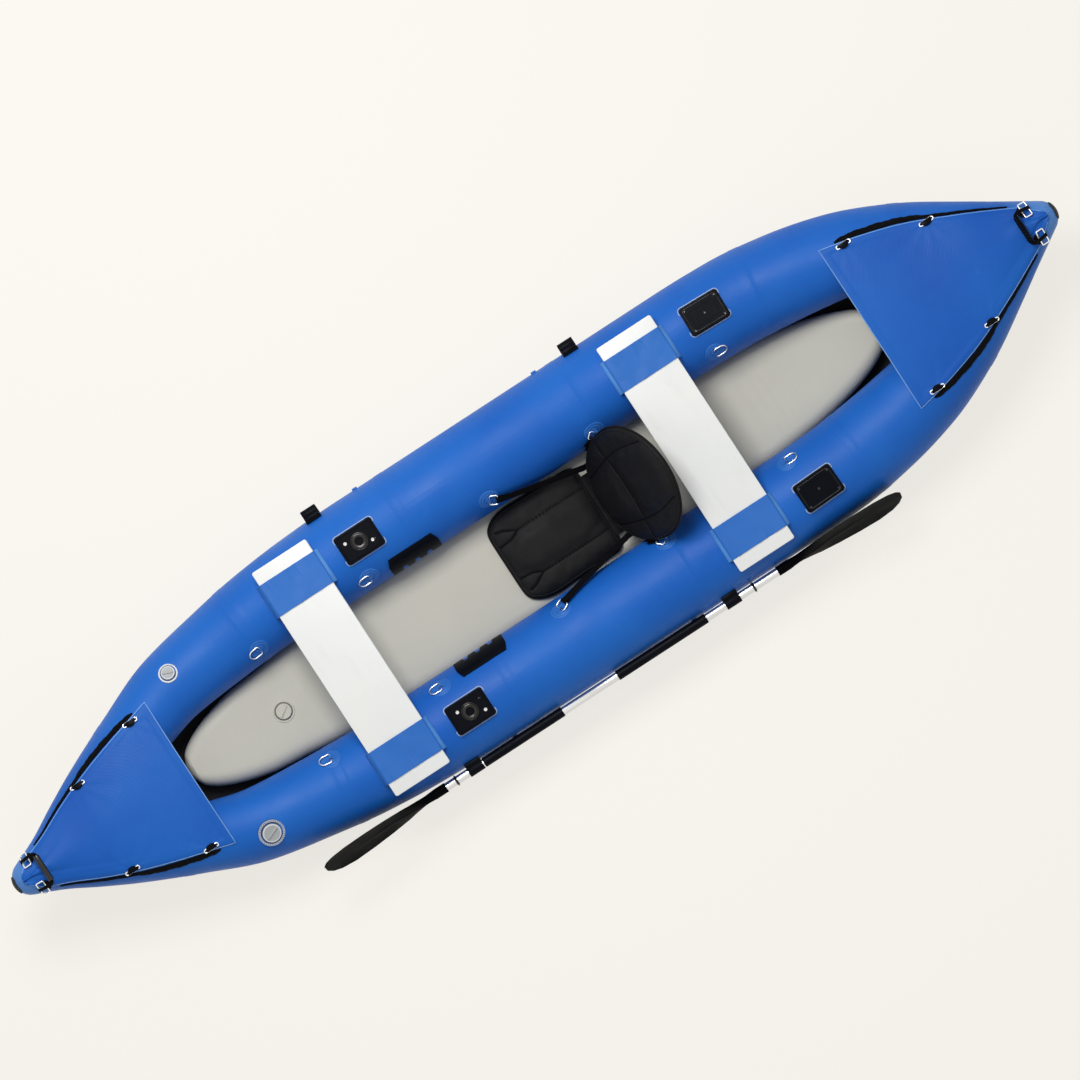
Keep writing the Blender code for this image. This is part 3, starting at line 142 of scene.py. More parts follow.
def mixed(tree, factor, first, second):
    """A mix of two colours. The first may be a link."""
    if not isinstance(first, bpy.types.NodeSocket):
        first = (*first, 1.0)
    return node(tree, "Mix", {"Factor": factor, 6: first, 7: (*second, 1.0)},
                data_type="RGBA").outputs[2]


def relief(tree, height, distance, strength, under=None):
    """A bump, over another one if under is given."""
    values = {"Height": height, "Distance": distance, "Strength": strength}
    if under:
        values["Normal"] = under
    return node(tree, "Bump", values).outputs["Normal"]


def paint(tree, shader, colour=None, roughness=None, normal=None):
    """Links what is given to the shader."""
    for name, value in (("Base Color", colour), ("Roughness", roughness), ("Normal", normal)):
        if value:
            wire(tree, value, shader.inputs[name])


# %% [markdown]
# ## Studio
# A catalogue picture has very soft light: a white room and one large lamp overhead, a little to
# the starboard side, which leaves the port side darker. World and lamps together add up to 1 on a
# flat white sheet, so each colour renders about as it is written. For the camera and for mirror
# rays the paper glows a little of its own, which evens it out but keeps a soft shadow.

# %% Light and floor
PAPER = (0.956, 0.930, 0.871, 1.0)
ROOM_LIGHT, PAPER_GLOW = 0.36, 0.80
scene.view_settings.view_transform = "Standard"


def looking_rays(tree):
    """1 for rays that look for the background: from the camera, or by way of metal and glass."""
    path = node(tree, "LightPath").outputs
    direct = calc(tree, "MAXIMUM", path["Is Camera Ray"], path["Is Glossy Ray"])
    return calc(tree, "MAXIMUM", direct, path["Is Transmission Ray"])


def glowing(tree, share, plain, glow, output):
    """Mixes a share of the glow into the plain shader and links it to the output."""
    mix = node(tree, "MixShader", {0: share, 1: plain.outputs[0], 2: glow.outputs[0]})
    wire(tree, mix.outputs[0], tree.nodes[output].inputs["Surface"])


def lamp(name, place, aim, size, watts):
    """A large square lamp that shines from place towards aim."""
    turn = (Vector(aim) - Vector(place)).to_track_quat("-Z", "Y").to_euler()
    bpy.ops.object.light_add(type="AREA", location=place, rotation=turn)
    light = bpy.context.active_object
    light.name = name
    light.data.size = size
    light.data.energy = watts


world = bpy.data.worlds.new("white room")
scene.world = world
world.use_nodes = True
room = world.node_tree
backdrop = room.nodes["Background"]
backdrop.inputs["Color"].default_value = (1.0, 1.0, 1.0, 1.0)
backdrop.inputs["Strength"].default_value = ROOM_LIGHT
glowing(room, looking_rays(room), backdrop, node(room, "Background", {"Color": PAPER}),
        "World Output")
lamp("key_lamp", (0.2, -2.9, 5.8), (0, 0, 0.2), 2.6, 275)
lamp("fill_lamp", (-1.6, 2.4, 5.4), (0, 0, 0.2), 3.0, 10)

bpy.ops.mesh.primitive_plane_add(size=60, location=(0, 0, -0.0006))
ground = bpy.context.active_object
ground.name = "studio_floor"
paper, tree, matt = look("studio paper", PAPER[:3], 0.9, Specular_IOR_Level=0.1)
glowing(tree, calc(tree, "MULTIPLY", looking_rays(tree), PAPER_GLOW), matt,
        node(tree, "Emission", {"Color": PAPER}), "Material Output")
ground.data.materials.append(paper)

# %% [markdown]
# ## Tools of the bench
# Everything below is made with a few habits: nothing stays selected from the step before, a
# modifier is applied as soon as it is set, and a finished piece lies in its place with its object
# at the origin. Curved cloth parts start as Blender's grid, laid row by row over the form. Each
# grid also gets a UV map in metres, so a weave has its real size on every piece.

# %% Working habits
PORT_TO_STARBOARD = Matrix.Scale(-1, 4, (0, 1, 0))


def clamp(value, low=0.0, high=1.0):
    return min(max(value, low), high)


def alone(piece=None):
    """Only this piece is selected and active, in object mode."""
    if bpy.context.mode != "OBJECT":
        bpy.ops.object.mode_set(mode="OBJECT")
    bpy.ops.object.select_all(action="DESELECT")
    if piece:
        piece.select_set(True)
        bpy.context.view_layer.objects.active = piece
    return piece


def added(name):
    """Names the primitive that was just added."""
    piece = bpy.context.active_object
    piece.name = piece.data.name = name
    return piece


def linked(name, data):
    """A new object in the scene."""
    piece = bpy.data.objects.new(name, data)
    scene.collection.objects.link(piece)
    return piece


def modify(piece, kind, **values):
    """Adds a modifier with these values and applies it."""
    alone(piece)
    modifier = piece.modifiers.new(kind.title(), kind)
    for key, value in values.items():
        setattr(modifier, key, value)
    bpy.ops.object.modifier_apply(modifier=modifier.name)
    return piece


def soften(piece, width, segments, angle=30):
    """Bevels the edges that turn by more than this angle in degrees."""
    return modify(piece, "BEVEL", width=width, segments=segments, limit_method="ANGLE",
                  angle_limit=radians(angle))


@contextmanager
def editing(piece, kind="vertices", rule=None):
    """Edit mode with those parts selected that the rule takes, or all. The rule gets a part and
    the mesh's points."""
    alone(piece)
    parts = {"vertices": piece.data.vertices, "edges": piece.data.edges,
             "faces": piece.data.polygons}
    bpy.context.tool_settings.mesh_select_mode = [kind == name for name in parts]
    for group in parts.values():
        group.foreach_set("select", [False] * len(group))
    points = [v.co for v in piece.data.vertices]
    for part in parts[kind]:
        part.select = not rule or bool(rule(part, points))
    bpy.ops.object.mode_set(mode="EDIT")
    yield
    bpy.ops.object.mode_set(mode="OBJECT")


def tidy(piece, gap=1e-5):
    """Merges double points and turns the faces outwards."""
    with editing(piece):
        bpy.ops.mesh.remove_doubles(threshold=gap)
        bpy.ops.mesh.normals_make_consistent(inside=False)
    return piece


def smooth(piece, angle=40):
    alone(piece)
    bpy.ops.object.shade_smooth_by_angle(angle=radians(angle))
    return piece


def put(piece, matrix=Matrix.Identity(4)):
    """Moves the shape itself, so that the object stays at the origin."""
    piece.data.transform(piece.matrix_basis)
    piece.matrix_basis = Matrix.Identity(4)
    piece.data.transform(matrix)
    if matrix.to_3x3().determinant() < 0:
        piece.data.flip_normals()
    return piece


def shift(x, y, z):
    return Matrix.Translation((x, y, z))


def copy_of(piece, name, matrix):
    """A copy with its own mesh, put in place by the matrix."""
    twin = piece.copy()
    twin.data = piece.data.copy()
    twin.name = twin.data.name = name
    scene.collection.objects.link(twin)
    return put(twin, matrix)


def discard(*models):
    """Removes the models that were only there to be copied."""
    for model in models:
        bpy.data.objects.remove(model, do_unlink=True)


def laid_grid(name, rows, columns, place, length, width, wrap=False, cap=False):
    """A grid whose point (i, j) goes to place(i, j), closed round its columns with wrap."""
    alone()
    bpy.ops.mesh.primitive_grid_add(x_subdivisions=rows, y_subdivisions=columns, size=2)
    piece = added(name)
    mesh = piece.data
    steps = [(round((v.co.x + 1) / 2 * rows), round((v.co.y + 1) / 2 * columns))
             for v in mesh.vertices]
    for loop, uv in zip(mesh.loops, mesh.uv_layers.active.data):
        i, j = steps[loop.vertex_index]
        uv.uv = (i / rows * length, j / columns * width)
    for vertex, (i, j) in zip(mesh.vertices, steps):
        vertex.co = place(i, j)
    if wrap:
        with editing(piece):
            bpy.ops.mesh.remove_doubles(threshold=1e-6)
    if cap:
        with editing(piece):
            bpy.ops.mesh.select_all(action="DESELECT")
            bpy.ops.mesh.select_non_manifold()
            bpy.ops.mesh.fill_holes(sides=0)
    return smooth(tidy(piece, 1e-6))


def thicken(piece, thickness, outward, inside=False):
    """Solidify, outwards or to the inside. outward(face) is above 0 where a face looks out."""
    out = (sum(outward(face) for face in piece.data.polygons) > 0) != inside
    return modify(piece, "SOLIDIFY", thickness=thickness, offset=1.0 if out else -1.0)


def finished(piece, look, body="hull", replaces=None, material_slot=None):
    """Gives a piece its look and its body, and hides the CAD node that it stands for."""
    piece.data.materials.clear()
    piece.data.materials.append(look)
    material_slot or SLOT_OF[look.name]
    if replaces:
        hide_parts(replaces)
    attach(piece, body)
    return piece


def both_sides(piece, look, name, replaces=None, body="hull", material_slot=None):
    """Finishes a port piece and makes its mirror image on the starboard side."""
    twin = copy_of(piece, name + "_starboard", PORT_TO_STARBOARD)
    piece.name = piece.data.name = name + "_port"
    for side, half in (("port", piece), ("starboard", twin)):
        finished(half, look, body.replace("SIDE", side), replaces and f"{replaces}_{side}",
                 material_slot)
    return piece, twin


def bending(piece, look, node_name, start, end):
    """Gives a piece between the hull and a moving body its look, hides the CAD node that it stands
    for and bakes its place into its mesh. start and end are not used.
    """
    piece.data.materials.clear()
    piece.data.materials.append(look)
    if node_name:
        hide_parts(node_name)
    tuple(start)
    tuple(end)
    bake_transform(piece)


print("bench ready")

# %% [markdown]
# ## Finishes
# ### Coated boat cloth
# Every finish is mixed from Blender's own textures, so it needs no picture and has no end. The
# tubes, decks and sleeves are polyester cloth with a satin PVC coat. The base cloth shows through
# as a very fine net, the sheet varies a little in tone, and handling leaves dull patches and small
# pale scuffs. Three waves cross to make the net, and noise does the rest.

# %% Coated boat cloth
NOSE_PALE, NOSE_FROM, NOSE_TO = (0.120, 0.300, 0.680), 1.84, 1.94


def coated_cloth(name, colour, deep, pale, roughness, net=0.00018, gloss=0.20, noses=0.0):
    """noses is how far the cloth is made paler towards the two noses."""
    material, tree, shader = look(name, colour, roughness, Specular_IOR_Level=gloss)
    tone = mixed(tree, spread(tree, noise(tree, 2.2, 4), 0.38, 0.62), deep, colour)
    if noses:
        along = node(tree, "SeparateXYZ", {"Vector": where(tree)}).outputs["X"]
        near = spread(tree, calc(tree, "ABSOLUTE", along), NOSE_FROM, NOSE_TO, 0.0, noses)
        tone = mixed(tree, near, tone, NOSE_PALE)
    scuffs = noise(tree, 9.0, 8, (1, 1, 2.5), 0.72)
    marks = spread(tree, scuffs, 0.64, 0.80, 0.0, 0.40)
    dull = spread(tree, noise(tree, 5.0, 5), 0.35, 0.7, roughness - 0.06, roughness + 0.10)
    threads = [node(tree, "TexWave", {"Vector": where(tree), "Scale": 210.0},
                    bands_direction=axis).outputs["Fac"] for axis in ("X", "Y", "Z")]
    weave = calc(tree, "MULTIPLY", calc(tree, "ADD", threads[0], threads[1]), threads[2])
    soft = relief(tree, noise(tree, 26.0, 4), 0.0009, 0.5)
    fine = relief(tree, weave, net, 0.5, soft)
    paint(tree, shader, mixed(tree, marks, tone, pale),
          calc(tree, "ADD", dull, calc(tree, "MULTIPLY", marks, 0.15)),
          relief(tree, noise(tree, 900.0, 2), 0.0001, 0.35, fine))
    return material


blue_cloth = coated_cloth("blue coated cloth", (0.012, 0.138, 0.555), (0.008, 0.112, 0.500),
                          (0.045, 0.195, 0.600), 0.44, noses=0.75)
deck_cloth = coated_cloth("deck cloth", (0.010, 0.122, 0.515), (0.006, 0.092, 0.455),
                          (0.040, 0.175, 0.560), 0.48)
sleeve_cloth = coated_cloth("sleeve cloth", (0.034, 0.168, 0.560), (0.026, 0.150, 0.525),
                            (0.090, 0.250, 0.620), 0.38)
piping_cloth = coated_cloth("pale edge piping", (0.210, 0.400, 0.740), (0.150, 0.330, 0.690),
                            (0.400, 0.540, 0.800), 0.40)
# Painted highlight: the pale strips on the slanting sides of the bench sleeves.
sleeve_strip_highlight = coated_cloth("sleeve strip highlight", (0.140, 0.380, 0.820), (0.110, 0.330, 0.760),
                         (0.240, 0.480, 0.880), 0.30)
floor_cloth = coated_cloth("grey floor cloth", (0.605, 0.588, 0.506), (0.570, 0.553, 0.478),
                           (0.680, 0.664, 0.590), 0.52, 0.00022, 0.15)
bottom_cloth = coated_cloth("dark bottom cloth", (0.012, 0.0125, 0.015), (0.009, 0.0095, 0.011),
                            (0.060, 0.062, 0.068), 0.58, 0.00030, 0.15)
floor_groove = coated_cloth("shaded floor groove", (0.190, 0.188, 0.170),
                            (0.160, 0.158, 0.145), (0.300, 0.298, 0.280), 0.55, gloss=0.15)
print("boat cloths ready")

# %% [markdown]
# ### Webbing
# Straps are woven polyester. The weave runs along the strap, so it reads the UV map in metres:
# a herringbone of two waves that lean opposite ways on the two halves of the ribs.

# %% Webbing
def webbing(name, colour, light, pitch=0.0022):
    material, tree, shader = look(name, colour, 0.72, Specular_IOR_Level=0.06)
    parts = node(tree, "SeparateXYZ", {"Vector": where(tree, source="UV")})
    along, across = parts.outputs["X"], parts.outputs["Y"]
    rib = calc(tree, "PINGPONG", across, pitch)
    lean = calc(tree, "ADD", along, calc(tree, "MULTIPLY", rib, 0.8))
    yarn = calc(tree, "SINE", calc(tree, "MULTIPLY", lean, 2 * pi / (pitch * 0.55)))
    ridge = spread(tree, yarn, -1.0, 1.0)
    height = calc(tree, "MULTIPLY", ridge, spread(tree, rib, 0.0, pitch, 0.6, 1.0))
    fuzz = spread(tree, noise(tree, 60.0, 5), 0.35, 0.75, 0.0, 0.6)
    under = relief(tree, noise(tree, 240.0, 3), 0.0002, 0.4)
    paint(tree, shader, mixed(tree, calc(tree, "MULTIPLY", ridge, fuzz), colour, light),
          normal=relief(tree, height, 0.0004, 0.8, under))
    return material


# Black webbing also lies beside the deck hems, as painted shadow.
black_webbing = webbing("black webbing", (0.0018, 0.0018, 0.0026), (0.009, 0.009, 0.011))
# Near black painted shade for the dark line at the bottom of each sewn channel of the seat.
seam_shade = webbing("painted seam shade", (0.0012, 0.0012, 0.0014), (0.004, 0.004, 0.005), 0.0008)
print("webbing ready")

# %% [markdown]
# ### Moulded plastics and rubber
# The plates, grips and blades are moulded in black nylon, with a fine spark-eroded grain and
# paler wear where hands and rock touch them. Valves are grey acetal. The nose guards are rubber.

# %% Moulded plastics and rubber
def moulded(name, colour, worn, roughness, grain=0.00012, gloss=0.25):
    material, tree, shader = look(name, colour, roughness, Specular_IOR_Level=gloss)
    wear = spread(tree, noise(tree, 16.0, 8, roughness=0.7), 0.60, 0.80, 0.0, 0.5)
    dull = spread(tree, noise(tree, 12.0, 5), 0.3, 0.7, roughness - 0.07, roughness + 0.08)
    paint(tree, shader, mixed(tree, wear, colour, worn), dull,
          relief(tree, noise(tree, 1400.0, 2), grain, 0.6))
    return material


black_nylon = moulded("black nylon", (0.0025, 0.0032, 0.0060), (0.012, 0.013, 0.017), 0.38,
                      gloss=0.05)
gloss_black = moulded("polished black", (0.0025, 0.0025, 0.0030), (0.010, 0.010, 0.011), 0.18,
                      0.00003, 0.5)
blade_nylon = moulded("blade nylon", (0.0025, 0.0027, 0.0036), (0.009, 0.009, 0.011), 0.40,
                      0.00022, 0.01)
guard_rubber = moulded("guard rubber", (0.018, 0.016, 0.015), (0.080, 0.072, 0.062), 0.66, 0.0003)
valve_acetal = moulded("grey valve acetal", (0.420, 0.440, 0.450), (0.560, 0.570, 0.570), 0.38)
valve_light = moulded("light valve rim", (0.700, 0.725, 0.750), (0.780, 0.790, 0.800), 0.34)
valve_shade = moulded("shaded valve groove", (0.040, 0.085, 0.230), (0.080, 0.130, 0.280), 0.5)
pale_rim = moulded("pale welded rim", (0.400, 0.520, 0.760), (0.500, 0.600, 0.800), 0.36)
white_dot = moulded("white nylon screw", (0.780, 0.780, 0.770), (0.640, 0.630, 0.600), 0.35)
print("plastics ready")

# %% [markdown]
# ### White boards
# The benches are boards with a smooth white skin. They have long faint rubbing marks across the
# boat, where legs and gear slide, and a slightly cooler tone towards the ends.

# %% White boards
board_white, tree, shader = look("white board skin", (0.840, 0.850, 0.825), 0.34,
                                 Coat_Weight=0.15, Coat_Roughness=0.2)
streaks = spread(tree, noise(tree, 7.0, 8, (4.0, 0.6, 1.0), 0.68), 0.55, 0.80, 0.0, 0.6)
skin = mixed(tree, spread(tree, noise(tree, 2.4, 3), 0.35, 0.65), (0.820, 0.835, 0.828),
             (0.850, 0.854, 0.825))
paint(tree, shader, mixed(tree, streaks, skin, (0.740, 0.745, 0.735)),
      spread(tree, noise(tree, 10.0, 6), 0.3, 0.7, 0.26, 0.42),
      relief(tree, noise(tree, 320.0, 3), 0.00015, 0.4))

# %% [markdown]
# ### Metals
# D-rings are bent from polished stainless wire. The shaft is drawn aluminium, anodised silver: it
# has fine lines along its length, so the noise is stretched that way.

# %% Metals
steel, tree, shader = look("polished stainless", (0.930, 0.935, 0.940), 0.24, Metallic=1.0)
paint(tree, shader, roughness=spread(tree, noise(tree, 90.0, 6), 0.3, 0.7, 0.18, 0.34),
      normal=relief(tree, noise(tree, 700.0, 3), 0.00004, 0.5))

anodised, tree, shader = look("anodised tube", (0.700, 0.712, 0.725), 0.30, Metallic=1.0)
lines = noise(tree, 300.0, 5, (0.02, 1.0, 1.0), 0.65)
paint(tree, shader, mixed(tree, lines, (0.620, 0.632, 0.650), (0.780, 0.788, 0.795)),
      spread(tree, lines, 0.3, 0.7, 0.22, 0.38), relief(tree, lines, 0.00005, 0.5))
print("metals ready")

# %% [markdown]
# ### Seat cover
# The seat is covered in black coated leathercloth. Its grain is a field of small rounded cells
# with creases between them, which a Voronoi texture draws well, over broad soft dents.

# %% Seat cover
seat_cover, tree, shader = look("black leathercloth", (0.006, 0.006, 0.008), 0.50,
                                Specular_IOR_Level=0.13)
cells = node(tree, "TexVoronoi", {"Vector": where(tree), "Scale": 620.0},
             feature="DISTANCE_TO_EDGE").outputs["Distance"]
rub = spread(tree, noise(tree, 11.0, 7, roughness=0.66), 0.52, 0.78, 0.0, 0.55)
dents = relief(tree, noise(tree, 38.0, 4), 0.0006, 0.5)
paint(tree, shader, mixed(tree, rub, (0.0060, 0.0060, 0.0072), (0.014, 0.0137, 0.0150)),
      spread(tree, noise(tree, 8.0, 5), 0.3, 0.7, 0.38, 0.56),
      relief(tree, spread(tree, cells, 0.0, 0.16), 0.00025, 0.7, dents))

SLOT_OF = {look.name: slot for slot, looks in {
    "blue_pvc": (blue_cloth, deck_cloth, sleeve_cloth, piping_cloth, sleeve_strip_highlight),
    "grey_pvc": (floor_cloth,), "dark_bottom_pvc": (bottom_cloth,), "white_board": (board_white,),
    "black_plastic": (black_nylon, gloss_black, blade_nylon, guard_rubber, pale_rim, white_dot),
    "valve_grey": (valve_acetal, valve_light, valve_shade, floor_groove),
    "black_webbing": (black_webbing,), "black_padding": (seat_cover, seam_shade),
    "stainless_steel": (steel,), "silver_alloy": (anodised,)}.items() for look in looks}
print("finishes:", len(SLOT_OF))

# %% [markdown]
# ## Hull lines
# The CAD source draws each tube as a row of circles along a curved centre line. The same rows are
# repeated here, so that smooth tubes, and everything that lies on them, fit the frame exactly.
# A cubic that never swings past its points joins the rows, and a table makes it quick to read.

# %% Hull lines
TUBE_ROWS = np.array((
    (-1.922, 0.000, 0.272, 0.058), (-1.816, 0.055, 0.238, 0.070), (-1.705, 0.108, 0.200, 0.088),
    (-1.502, 0.201, 0.122, 0.118), (-1.315, 0.261, 0.066, 0.139), (-1.132, 0.298, 0.026, 0.148),
    (-0.952, 0.319, 0.006, 0.1515), (-0.764, 0.3245, 0.000, 0.1515), (0.470, 0.3245, 0.000, 0.1515),
    (0.660, 0.3213, 0.000, 0.149), (0.848, 0.313, 0.003, 0.142), (1.041, 0.292, 0.020, 0.132),
    (1.226, 0.2635, 0.058, 0.122), (1.415, 0.198, 0.108, 0.110), (1.619, 0.1244, 0.172, 0.090),
    (1.720, 0.083, 0.207, 0.078), (1.825, 0.034, 0.243, 0.068), (1.920, 0.000, 0.274, 0.060)))
BOTTOM = 0.004
STERN_END, BOW_END = TUBE_ROWS[0, 0], TUBE_ROWS[-1, 0]


def smooth_values(places, values, at):
    """A cubic through the points that never swings past them."""
    step = np.diff(places)
    slope = np.diff(values) / step
    lean = np.concatenate([[slope[0]], np.zeros(len(slope) - 1), [slope[-1]]])
    for i in range(1, len(slope)):
        if slope[i - 1] * slope[i] > 0:
            first, second = 2 * step[i] + step[i - 1], step[i] + 2 * step[i - 1]
            lean[i] = (first + second) / (first / slope[i - 1] + second / slope[i])
    i = np.clip(np.searchsorted(places, at) - 1, 0, len(step) - 1)
    t = (at - places[i]) / step[i]
    a, b, c, d = values[i], values[i + 1], lean[i] * step[i], lean[i + 1] * step[i]
    return (2 * a - 2 * b + c + d) * t**3 + (3 * b - 3 * a - 2 * c - d) * t**2 + c * t + a


LINE_X = np.linspace(STERN_END, BOW_END, 1201)
LINE_SPREAD, LINE_RISE, LINE_RADIUS = (smooth_values(TUBE_ROWS[:, 0], TUBE_ROWS[:, k], LINE_X)
                                       for k in (1, 2, 3))
LINE_Z = BOTTOM + LINE_RISE + LINE_RADIUS
LEAN_Y, LEAN_Z = np.gradient(LINE_SPREAD, LINE_X), np.gradient(LINE_Z, LINE_X)


def tube_spread(x):
    return float(np.interp(x, LINE_X, LINE_SPREAD))


def tube_radius(x):
    return float(np.interp(x, LINE_X, LINE_RADIUS))


def tube_frame(x):
    """Centre, direction, outboard and upward unit vectors, and radius of the port tube at x."""
    centre = Vector((x, tube_spread(x), float(np.interp(x, LINE_X, LINE_Z))))
    along = Vector((1, float(np.interp(x, LINE_X, LEAN_Y)), float(np.interp(x, LINE_X, LEAN_Z))))
    along.normalize()
    up = (Vector((0, 0, 1)) - along * along.z).normalized()
    return centre, along, up.cross(along), up, tube_radius(x)


def tube_normal(x, angle):
    """Outward normal of the port tube. The angle runs from the top line towards the outside."""
    _, _, out, up, _ = tube_frame(x)
    return up * cos(angle) + out * sin(angle)


def on_tube(x, angle, lift=0.0):
    """A point on the port tube, or lifted from it."""
    return tube_frame(x)[0] + tube_normal(x, angle) * (tube_radius(x) + lift)


def tube_above(x, y):
    """Station and angle of the port tube's upper surface over the plan point (x, y)."""
    station, angle = x, 0.0
    for _ in range(25):
        point = on_tube(station, angle)
        station = clamp(station + x - point.x, STERN_END, BOW_END)
        reach = tube_radius(station) * max(cos(angle), 0.25)
        angle = clamp(angle + (y - point.y) / reach, -1.45, 1.45)
    return station, angle


def surface_height(x, y):
    return on_tube(*tube_above(x, y)).z


def frame_at(place, forward, upward):
    """Matrix whose X runs forward and whose Z is as near upward as it can be."""
    x_axis = forward.normalized()
    z_axis = (upward - x_axis * upward.dot(x_axis)).normalized()
    matrix = Matrix((x_axis, z_axis.cross(x_axis), z_axis)).transposed().to_4x4()
    matrix.translation = place
    return matrix


def tube_seat(x, y=0.0, facing=1, turn=None):
    """Matrix on the port tube: X along it, Z outward. turn gives the angle instead of y."""
    station, angle = (x, turn) if turn is not None else tube_above(x, y)
    return frame_at(on_tube(station, angle), tube_frame(station)[1] * facing,
                    tube_normal(station, angle))


print("tube length", round(BOW_END - STERN_END, 3), "m")

# %% [markdown]
# ## Tubes
# On the real boat a tube is made from flat panels of coated cloth, welded into a long bent
# cylinder that tapers to the nose. It could be a curve with a bevel, but the welds would then be
# hard to place. Here a grid is wrapped round the centre line instead, and rows of it are lifted by
# a millimetre where welded bands run round the tube and along it. The two tubes meet on the keel
# plane at the noses, so each is cut there with bisect, which also closes the cut.

# %% Port and starboard tubes
AROUND, KEEL_GAP = 72, 0.0002
WELD_PLACES = (-1.52, -1.04, -0.36, 0.30, 0.93, 1.47)
WELD_HALF = 0.016
WELD_LIFT = 0.0009
stops = set(np.round(np.linspace(STERN_END, BOW_END, 150), 4))
for weld in WELD_PLACES:
    stops |= {round(weld + sign * (WELD_HALF + d), 4) for sign in (1, -1) for d in (-0.002, 0.001)}
TUBE_STOPS = ([(STERN_END, -rise) for rise in (90, 84, 76, 66, 55, 43, 30, 15)]
              + [(float(x), 0) for x in sorted(stops)]
              + [(BOW_END, rise) for rise in (15, 30, 43, 55, 66, 76, 84, 90)])


def weld_height(x, angle):
    """Lift of the welded bands: round the tube at its joints, and along its lower outer side."""
    lift = 0.0
    if any(abs(x - weld) < WELD_HALF for weld in WELD_PLACES):
        lift = WELD_LIFT
    if 98 < angle % 360 < 117:
        lift = max(lift, WELD_LIFT)
    return lift


def tube_point(i, j):
    x, rise = TUBE_STOPS[i]
    turn = 2 * pi * j / AROUND
    centre, along, out, up, radius = tube_frame(x)
    spoke = up * cos(turn) + out * sin(turn)
    if rise:
        bulge = radians(rise)
        return centre + along * radius * sin(bulge) + spoke * radius * cos(bulge)
    return centre + spoke * (radius + weld_height(x, degrees(turn)))


def keel_cut(piece):
    """Cuts off what lies past the keel plane and closes the cut."""
    with editing(piece):
        bpy.ops.mesh.bisect(plane_co=(0, KEEL_GAP, 0), plane_no=(0, -1, 0), clear_outer=True,
                            use_fill=True)
    return tidy(piece)


tube = laid_grid("tube", len(TUBE_STOPS) - 1, AROUND, tube_point, 4.2, 0.95, wrap=True)
keel_cut(tube)
tubes = both_sides(smooth(tube, 60), blue_cloth, "tube_cover", replaces="tube")
print("tube faces", len(tubes[0].data.polygons))

# %% [markdown]
# ## Nose guards
# A strip of tough rubber is glued round the outer face of each nose, where the boat meets rocks.
# It is a short grid laid on the nose's ball, a little proud of it, and Solidify gives it its
# thickness with a rounded edge from a bevel.

# %% Nose guards
GUARD_ROWS, GUARD_COLUMNS, GUARD_HALF = 28, 12, 0.030
SKIN_GAP = 0.0004


def nose_guard(name, x, way):
    centre, radius = Vector((x, 0, float(np.interp(x, LINE_X, LINE_Z)))), tube_radius(x)

    def place(i, j):
        turn = radians(38 - 116 * i / GUARD_ROWS)
        y = GUARD_HALF * (2 * j / GUARD_COLUMNS - 1)
        y *= min(1.0, 0.62 + 0.38 * sin(pi * i / GUARD_ROWS) * 3)
        reach = sqrt((radius + SKIN_GAP) ** 2 - y * y)
        return centre + Vector((way * reach * cos(turn), y, reach * sin(turn)))

    guard = laid_grid(name, GUARD_ROWS, GUARD_COLUMNS, place, 0.12, 2 * GUARD_HALF)
    thicken(guard, 0.0026, lambda face: face.normal.dot(face.center - centre))
    finished(smooth(tidy(soften(guard, 0.0010, 2, 50)), 45), guard_rubber)


nose_guard("bow_guard", BOW_END, 1)
nose_guard("stern_guard", STERN_END, -1)

# %% [markdown]
# ## Bottom sheet
# A heavier dark sheet closes the boat underneath and is wrapped part of the way up each tube. The
# grid's columns run from the port wrap down and across to the starboard wrap, and Solidify adds
# the sheet's thickness on the outside.

# %% Bottom sheet
WRAP = radians(45)
KEEL_STOPS = [x for x in np.linspace(STERN_END, BOW_END, 161) if tube_spread(x) > 0.034]
SIDE_STEPS, FLAT_STEPS = 10, 12


def bottom_point(i, j):
    x = float(KEEL_STOPS[i])
    side = 1 if j <= SIDE_STEPS + FLAT_STEPS / 2 else -1
    k = j if side > 0 else 2 * SIDE_STEPS + FLAT_STEPS - j
    point = on_tube(x, pi - WRAP * max(0, 1 - k / SIDE_STEPS), SKIN_GAP)
    point.y *= side * min(1, 1 - (k - SIDE_STEPS) / (FLAT_STEPS / 2))
    return point


bottom = laid_grid("bottom_sheet", len(KEEL_STOPS) - 1, 2 * SIDE_STEPS + FLAT_STEPS, bottom_point,
                   3.6, 0.9)
thicken(bottom, 0.0033, lambda face: -face.normal.z)
finished(smooth(tidy(bottom), 50), bottom_cloth, replaces="bottom_skin")

# %% [markdown]
# ## Air floor
# The floor is a flat bag held in shape by thousands of threads inside, so it is level on top and
# round at its sides. A grid is wrapped round its section, which is a flat oval, and it narrows to
# blunt ends. A thin welded tape runs round its middle, and the cloth dimples faintly where the
# threads pull.

# %% Air floor
FLOOR_THICK, FLOOR_HALF, FLOOR_GAP = 0.100, 0.200, 0.0006
FLOOR_BOW, FLOOR_STERN = 1.335, -1.345
FLOOR_ROWS, FLOOR_COLUMNS = 120, 64


def keel_height(x):
    return float(on_tube(x, pi, 0.0003).z) if abs(x) < 1.85 else 0.2


def floor_half(x):
    tip, power, root = (FLOOR_BOW, 2.2, 0.45) if x > 0 else (FLOOR_STERN, 3.0, 0.5)
    start = 0.35 if x > 0 else -0.35
    t = clamp((x - start) / (tip - start))
    fuller = 0.010 * clamp((x - 0.98) / 0.12) * min(1.0, (1 - t) / 0.02)
    return FLOOR_HALF * (1 - t**power) ** root + fuller


def floor_x(share):
    """Stations closer together towards the ends."""
    tip = FLOOR_BOW if share > 0.5 else FLOOR_STERN
    return tip * 0.9985 * sin(pi / 2 * min(abs(share - 0.5) * 2, 1.0))


